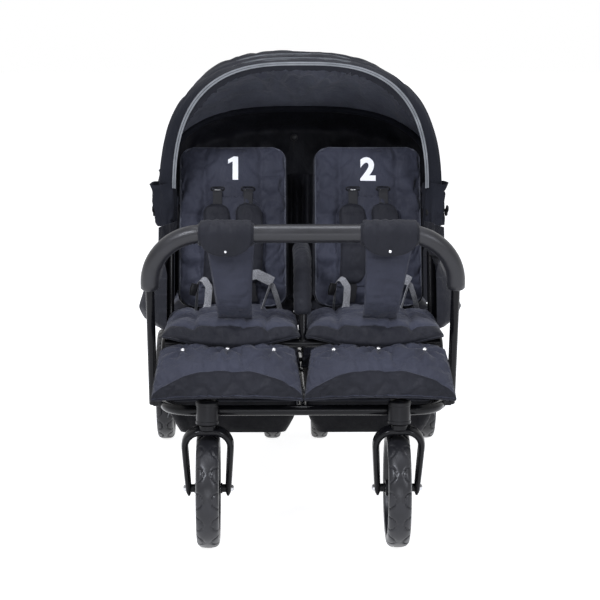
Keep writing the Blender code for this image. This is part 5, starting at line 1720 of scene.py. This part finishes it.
def hood_profile(q):
    """Half width, height and lean of the cloth, from 0 at the hem to 1 at the rear."""
    knots = (
        (0.00, *HEM),
        (0.07, FRONT_HOOP_X, FRONT_HOOP[1] + COVER * 1.3, math.radians(-16.5)),
        (0.13, FRONT_HOOP_X + COVER * 1.5, FRONT_HOOP[1] + COVER, FRONT_HOOP[2]),
        (0.56, REAR_HOOP_X + COVER, 0.3515 + COVER - 0.014, math.radians(19)),
        (1.00, REAR_HOOP_X + COVER, REAR_HOOP[1] + COVER, REAR_HOOP[2]),
    )
    for low, high in zip(knots, knots[1:]):
        if q <= high[0]:
            part = (q - low[0]) / (high[0] - low[0])
            return [a + (b - a) * part for a, b in zip(low[1:], high[1:])]
    return list(knots[-1][1:])


def hood_fold(across, q, seed):
    """Depth of the gathers: long ones from hoop to hoop and a fan at the middle."""
    between = max(0.0, math.sin(math.pi * limited((q - 0.13) / 0.87)))
    long_folds = ripple(across * 13 + seed, q * 1.6, seed)
    cross_folds = ripple(across * 4.5, q * 8 + seed, 2.0)
    ridge = (1 - abs(long_folds) * 2.0) ** 3
    fan_line = abs(across) - 0.15 * max(0.0, 0.92 - q)
    fan = hill(fan_line, 0.014) + 0.7 * hill(fan_line - 0.045, 0.012)
    small_folds = 0.0016 * ripple(across * 38 + seed, q * 9, 5.0)
    return between * (0.0110 * ridge + 0.0130 * max(0.0, cross_folds) + 0.0170 * fan) + small_folds


def reflective_tape():
    """Pale grey retro-reflective tape with a fine honeycomb of cells."""
    material, tree, shader, where = shader_nodes("reflective_tape", (0.24, 0.25, 0.26), 0.42, coat=0.1)
    cells = tree.nodes.new("ShaderNodeTexVoronoi")
    cells.inputs["Scale"].default_value = 700
    tree.links.new(where, cells.inputs["Vector"])
    wear = speckle(tree, where, 30, 4)
    wire(
        tree, shader,
        colour=shades(tree, wear, (0.19, 0.20, 0.21), (0.29, 0.30, 0.31)),
        normal=bumps(tree, cells.outputs["Distance"], 0.0001),
    )
    return material


TAPE = reflective_tape()
HOOD_COLUMNS = even_shares(150)
HOOD_ROWS = [0.14 * index / 8 for index in range(8)] + [0.14 + 0.86 * index / 44 for index in range(45)]


def hem_band(outer, inner, front, jag=0.0, seed=0.0):
    """A band that faces forwards along the hem: offsets outwards from the hem line. A
    jagged one is narrow low down, where the backrests swing past it."""
    grid = []
    for offset in (outer, (outer + inner) / 2, inner):
        row = []
        for share in HOOD_COLUMNS:
            clear = 1.0
            if jag:
                clear = min(1.0, max(0.4, (math.sin(math.pi * share) - 0.30) / 0.35))
            reach = outer + (offset - outer) * clear
            if offset == inner:
                reach += jag * clear * ripple(share * 150, seed, 0)
            point = hoop_point(HEM[0] + reach, HEM[1] + reach, HEM[2], share)
            row.append(point - Vector((0, front, 0)))
        grid.append(row)
    return grid


def hoop_channel(share):
    """Radius of the cloth channel sewn round the rear hoop, a little puckered."""
    return 0.0076 + 0.0009 * ripple(share * 60, 1.0, 0.0)


def moved(grid, shift):
    """The same rows of points at another row of seats."""
    return [[point + shift for point in row] for row in grid]


def hoop_mesh(form, shift):
    """A bent hoop with an eye at each end, for the pivots."""
    bm = bmesh.new()
    bar(bm, [hoop_point(*form, share) + shift for share in even_shares(HOOP_STEPS, 0, 1)], HOOP_RADIUS, 12)
    for side in (-1, 1):
        eye = place(side * form[0], *HOOD_PIVOT) + shift
        lathe(bm, disc_profile(-0.0045, 0.0045, 0.009), eye, steps=24)
    return bm


for row in ROWS:
    shift = row_shift(row)
    pivot = place(0, *HOOD_PIVOT) + shift
    hoop_bm = hoop_mesh(REAR_HOOP, shift)
    front_bm = hoop_mesh(FRONT_HOOP, shift)
    front_body = f"hood_front_{row}"
    channel_bm = bmesh.new()
    channel_path = [hoop_point(*REAR_HOOP, share) + shift for share in even_shares(120)]
    bar(channel_bm, channel_path, hoop_channel, 14)
    piece(f"hoop_channel_{row}", channel_bm, HOOD_NYLON_PAINTED_SHADE, "chassis", "hood_fabric", crease=60)
    piece(f"rear_hoop_{row}", hoop_bm, STEEL, "chassis", "frame_steel", [f"hood_rear_hoop_{row}"])
    piece(f"front_hoop_{row}", front_bm, STEEL, front_body, "frame_steel", [f"hood_front_hoop_{row}"])

    grid = []
    for q in HOOD_ROWS:
        half, height, lean = hood_profile(q)
        line = []
        for share in HOOD_COLUMNS:
            level = hoop_point(half, height, lean, share)
            dip = hood_fold(level.x, q, row * 7.0)
            line.append(hoop_point(half - dip, height - dip, lean, share) + shift)
        grid.append(line)
    canopy_bm = cloth(grid, CANOPY_THICK)
    bmesh.ops.recalc_face_normals(canopy_bm, faces=canopy_bm.faces)
    # Inward faces take the lighter lining nylon, painted light under the canopy; the rest keep the darker
    # hood nylon, painted shade.
    for face in canopy_bm.faces:
        if face.normal.dot(face.calc_center_median() - pivot) < 0:
            face.material_index = 1
    node = [f"hood_fabric_{row}"]
    canopy = piece(f"hood_canopy_{row}", canopy_bm, HOOD_NYLON_PAINTED_SHADE, None, "hood_fabric", node, 70)
    canopy.data.materials.append(LINING_PAINTED_LIGHT)
    normal = Vector((0, math.cos(FRONT_HOOP[2]), -math.sin(FRONT_HOOP[2])))
    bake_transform(canopy)

    tape_bm = cloth(moved(hem_band(0.0040, 0.0004, TAPE_FRONT), shift), TAPE_THICK)
    join_into(tape_bm, cloth(moved(hem_band(-0.0006, -0.0042, TAPE_FRONT), shift), TAPE_THICK))
    piece(f"hem_tape_{row}", tape_bm, TAPE, front_body, "hood_fabric", crease=60)
    binding = cloth(moved(hem_band(0.0050, -0.0165, 0.0012, 0.0065, row), shift), 0.0014)
    piece(f"hem_binding_{row}", binding, DARK_NYLON_AND_SHADE, front_body, "hood_fabric", crease=60)

    # The curtain and the gap cloth below wear the near-black nylon: painted shade at the back of the hood.
    curtain = []
    for step in range(CURTAIN_ROWS + 1):
        down = step / CURTAIN_ROWS
        line = []
        for index in range(CURTAIN_COLUMNS + 1):
            share = 0.10 + 0.80 * index / CURTAIN_COLUMNS
            top = hoop_point(REAR_HOOP_X + 0.004, REAR_HOOP[1] + 0.0045, REAR_HOOP[2], share)
            point = top.lerp(place(top.x * 0.96, *CURTAIN_FOOT), down)
            swing = math.sin(math.pi * min(1.0, down * 1.2)) * 0.5 + down * 0.6
            point.y += 0.007 * swing * math.sin(top.x * 85 + 3 * ripple(top.x * 6, down * 2, row))
            point.y += crumple(point, 9, 0.010, row * 2.0) * min(1.0, down * 4)
            roll = hill(down - 0.24 - 0.10 * (top.x / 0.3) ** 2, 0.10)
            point.y -= 0.026 * roll * max(0.0, 1 - (top.x / 0.27) ** 4)
            line.append(point + shift)
        curtain.append(line)
    curtain_bm = cloth(curtain, NYLON_THICK)
    back_cloth = piece(f"hood_curtain_{row}", curtain_bm, CURTAIN_SHADE_NYLON, "chassis", "hood_fabric", crease=70)

    between = []
    for step in range(GAP_ROWS + 1):
        down = step / GAP_ROWS
        line = []
        for index in range(GAP_COLUMNS + 1):
            x = (index / (GAP_COLUMNS / 2) - 1) * GAP_HALF
            gather = 0.0060 * math.sin(x * 260 + 1.5 * ripple(x * 20, down * 3, row))
            back = 0.512 - 0.112 * down ** 0.8 + gather * (0.35 + 0.65 * math.sin(math.pi * down))
            line.append(place(x, back, 0.775 - 0.275 * down) + shift)
        between.append(line)
    gap_bm = cloth(between, NYLON_THICK)
    gap_cloth = piece(f"gap_curtain_{row}", gap_bm, CURTAIN_SHADE_NYLON, "chassis", "hood_fabric", crease=70)

    for side, label in SIDES:
        rings = []
        for step in range(FUNNEL_RINGS + 1):
            down = step / FUNNEL_RINGS
            z = 0.768 - 0.098 * down
            middle = 0.3125 - 0.004 * down
            wide = 0.0300 - 0.0065 * down - 0.002 * math.sin(math.pi * down)
            deep = 0.0290 - 0.0050 * down
            ring = []
            for index in range(FUNNEL_STEPS):
                angle = 2 * math.pi * index / FUNNEL_STEPS
                pleat = 0.0020 * math.sin(angle * 7 + side) * (0.35 + 0.65 * down)
                x = side * (middle + (wide + pleat) * math.cos(angle))
                back = HOOD_PIVOT[0] + (deep + pleat) * math.sin(angle)
                point = place(x, back, z)
                rise = 0.003 * math.sin(angle * 2) * (1 - down)
                fold = (crumple(point, 24, 0.0062, side), crumple(point, 21, 0.0055, 7.0), rise)
                ring.append(point + Vector(fold) + shift)
            rings.append(ring)
        funnel_bm = cloth(rings, NYLON_THICK, True)
        name = f"hood_funnel_{label}_{row}"
        funnel = piece(name, funnel_bm, HOOD_NYLON_PAINTED_SHADE, "chassis", "hood_fabric", crease=70)
    button = bmesh.new()
    lathe(button, BUTTON, place(-0.0125, 0.512, 0.862) + shift, FORWARDS, 28)
    tail = [place(-0.0125, 0.511, 0.860) + shift, place(-0.0150, 0.511, 0.828) + shift]
    bar(button, fine(tail, 0.008), 0.0014, 8)
    piece(f"curtain_button_{row}", button, PLASTIC, "chassis", "plastic")


# The push handle: two uprights welded to the rear axle's barrels carry a folding
# handle on two round hubs, with a foam grip along its top.
UPRIGHT_X = 0.2765
HANDLE_X = 0.2565
HANDLE_PIVOT = (1.400, 0.800)
HANDLE_TOP = (1.5157, 0.9379)
HUB_RADIUS = 0.028
HANDLE_RADIUS = 0.0095
HANDLE_BEND = 0.060
UPRIGHT_RADIUS = 0.010
CROSS_RADIUS = 0.0085
HANDLE_GRIP_RADIUS = 0.0175
uprights = bmesh.new()
rear_axle_point = place(0, WHEELBASE, REAR_WHEEL_RADIUS)
pivot = place(0, *HANDLE_PIVOT)
rise_run = (pivot - rear_axle_point).normalized()
CROSS_Z = 0.420
for side in (-1, 1):
    across = Vector((side * UPRIGHT_X, 0, 0))
    foot = rear_axle_point + across + rise_run * SADDLE_RADIUS * WELD_SHARE
    bar(uprights, fine([foot, pivot + across - rise_run * 0.020], 0.05), UPRIGHT_RADIUS)
    saddle(uprights, side * UPRIGHT_X)
    lathe(uprights, disc_profile(-0.010, 0.010, HUB_RADIUS, 0.002), pivot + across)
cross_share = (CROSS_Z - REAR_WHEEL_RADIUS) / (HANDLE_PIVOT[1] - REAR_WHEEL_RADIUS)
cross_mid = rear_axle_point.lerp(pivot, cross_share)
cross_half = Vector((UPRIGHT_X, 0, 0))
bar(uprights, [cross_mid - cross_half, cross_mid + cross_half], CROSS_RADIUS)
piece("rear_uprights", uprights, STEEL, "chassis", "frame_steel", ["handle_uprights"])
handle = bmesh.new()
handle_path = rounded_path(
    (
        place(-HANDLE_X, *HANDLE_PIVOT), place(-HANDLE_X, *HANDLE_TOP),
        place(HANDLE_X, *HANDLE_TOP), place(HANDLE_X, *HANDLE_PIVOT),
    ),
    (HANDLE_BEND, HANDLE_BEND),
)
bar(handle, handle_path, HANDLE_RADIUS)
for side in (-1, 1):
    end = pivot + Vector((side * HANDLE_X, 0, 0))
    lathe(handle, disc_profile(-0.0095, 0.0095, HUB_RADIUS, 0.002), end)
    lathe(handle, disc_profile(-0.0130, 0.0, 0.009, 0.002), end, (side, 0, 0), 6)
piece("handle_tube", handle, STEEL, "handle", "frame_steel", ["push_handle"])
grip = bmesh.new()
GRIP_HALF = 0.2025
grip_path = fine([place(-GRIP_HALF, *HANDLE_TOP), place(GRIP_HALF, *HANDLE_TOP)], 0.006)
bar(grip, grip_path, grip_reach(HANDLE_GRIP_RADIUS, 90), 28)
grip_obj = piece("handle_foam", grip, FOAM, "handle", "foam", ["handle_grip"], 60)

# The brake: a plastic pedal on two arms that turn round the rear axle between the
# inner wheels.
brake = bmesh.new()
TREAD_REACH = Vector((0, 0.165, 0.030))
PEDAL_COLLAR_X = 0.027
PEDAL_ARM_X = 0.025
PEDAL_ARM_RADIUS = 0.0045
RIB_PITCH = 0.006
for side in (-1, 1):
    collar = rear_axle_point + Vector((side * PEDAL_COLLAR_X, 0, 0))
    lathe(brake, disc_profile(-0.008, 0.008, 0.016, 0.0015), collar, steps=40)
    arm = rear_axle_point + Vector((side * PEDAL_ARM_X, 0, 0))
    arm_path = fine([arm + TREAD_REACH.normalized() * 0.013, arm + TREAD_REACH], 0.03)
    bar(brake, arm_path, PEDAL_ARM_RADIUS, 14)
tread_mid = rear_axle_point + TREAD_REACH
tread = [tread_mid + Vector((x, 0, 0)) for x in (-0.033, -0.0315, -0.028, 0.028, 0.0315, 0.033)]


def tread_reach(share):
    """Half the tread's depth, less at both ends."""
    return 0.018 - 0.0035 * (abs(2 * share - 1) ** 8)


bar(brake, tread, tread_reach, sides=28, flat=0.28, side=BACKWARDS, corner=0.4)
for rib in range(-4, 5):
    rib_x = rib * RIB_PITCH
    line = [tread_mid + Vector((rib_x, back, 0.0052)) for back in (-0.012, -0.011, 0.011, 0.012)]
    bar(brake, line, 0.0011, 8)
piece("pedal", brake, PLASTIC, "brake", "plastic", ["brake_pedal"])


# The studio: a white floor and background that stay plain behind the object and keep
# its faint shadow, four soft lamps, and the photograph's viewpoint.
def seen_rays(tree):
    """1 for rays that show the studio itself, 0 for the light that it gives."""
    path = tree.nodes.new("ShaderNodeLightPath")
    total = path.outputs["Is Camera Ray"]
    for label in ("Is Glossy Ray", "Is Transmission Ray"):
        add = tree.nodes.new("ShaderNodeMath")
        add.operation = "ADD"
        add.use_clamp = True
        tree.links.new(total, add.inputs[0])
        tree.links.new(path.outputs[label], add.inputs[1])
        total = add.outputs["Value"]
    return total


SKY_STRENGTH = 0.20
FLOOR_GLOW = 0.92
FLOOR_HALF = 30
LENS = 126.4
CAMERA_SPOT = (-0.0746, -5.2012, 1.18)
CAMERA_DOWN = 8.04
CAMERA_TURN = -0.87
scene = bpy.context.scene
world = bpy.data.worlds.new("studio")
scene.world = world
world.use_nodes = True
sky = world.node_tree
given = sky.nodes["Background"]
given.inputs["Color"].default_value = (0.86, 0.90, 1.0, 1)
given.inputs["Strength"].default_value = SKY_STRENGTH
shown = sky.nodes.new("ShaderNodeBackground")
shown.inputs["Color"].default_value = (1, 1, 1, 1)
shown.inputs["Strength"].default_value = 1.0
either = sky.nodes.new("ShaderNodeMixShader")
sky.links.new(seen_rays(sky), either.inputs["Fac"])
sky.links.new(given.outputs["Background"], either.inputs[1])
sky.links.new(shown.outputs["Background"], either.inputs[2])
sky.links.new(either.outputs["Shader"], sky.nodes["World Output"].inputs["Surface"])

paper = bpy.data.materials.new("white_paper")
paper.use_nodes = True
nodes = paper.node_tree
matt = nodes.nodes["Principled BSDF"]
matt.inputs["Base Color"].default_value = (0.86, 0.86, 0.86, 1)
matt.inputs["Roughness"].default_value = 0.9
glow = nodes.nodes.new("ShaderNodeEmission")
glow.inputs["Color"].default_value = (1, 1, 1, 1)
glow.inputs["Strength"].default_value = FLOOR_GLOW
mix = nodes.nodes.new("ShaderNodeMixShader")
nodes.links.new(seen_rays(nodes), mix.inputs["Fac"])
nodes.links.new(glow.outputs["Emission"], mix.inputs[2])
both = nodes.nodes.new("ShaderNodeAddShader")
nodes.links.new(matt.outputs["BSDF"], both.inputs[0])
nodes.links.new(mix.outputs["Shader"], both.inputs[1])
nodes.links.new(both.outputs["Shader"], nodes.nodes["Material Output"].inputs["Surface"])
sweep = bmesh.new()
bmesh.ops.create_grid(sweep, x_segments=1, y_segments=1, size=FLOOR_HALF)
floor = piece("studio_floor", sweep, paper, None, "studio")
floor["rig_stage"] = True


LAMP_TINT = (0.88, 0.91, 1.0)


def lamp(name, spot, target, size, power):
    light = bpy.data.lights.new(name, "AREA")
    light.shape = "RECTANGLE"
    light.size, light.size_y = size
    light.energy = power
    light.color = LAMP_TINT
    obj = bpy.data.objects.new(name, light)
    scene.collection.objects.link(obj)
    obj.location = spot
    obj.rotation_euler = (Vector(target) - Vector(spot)).to_track_quat("-Z", "Y").to_euler()
    obj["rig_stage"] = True


lamp("key", (-2.0, -3.8, 3.5), (0, -0.3, 0.5), (1.0, 1.4), 165)
lamp("fill", (2.8, -4.2, 2.4), (0, -0.3, 0.5), (1.0, 1.6), 78)
lamp("front", (0.1, -5.8, 0.35), (0, 0.2, 0.9), (1.6, 0.5), 26)
lamp("top", (0.2, -0.9, 4.2), (0, -0.2, 0.5), (1.6, 1.4), 80)
camera_data = bpy.data.cameras.new("camera")
camera_data.lens = LENS
camera_data.sensor_width = 36
camera = bpy.data.objects.new("camera", camera_data)
scene.collection.objects.link(camera)
camera.location = CAMERA_SPOT
camera.rotation_euler = (math.radians(90 - CAMERA_DOWN), 0, math.radians(CAMERA_TURN))
scene.camera = camera
scene.view_settings.view_transform = "Standard"

# The size of what is shown.
low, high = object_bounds()
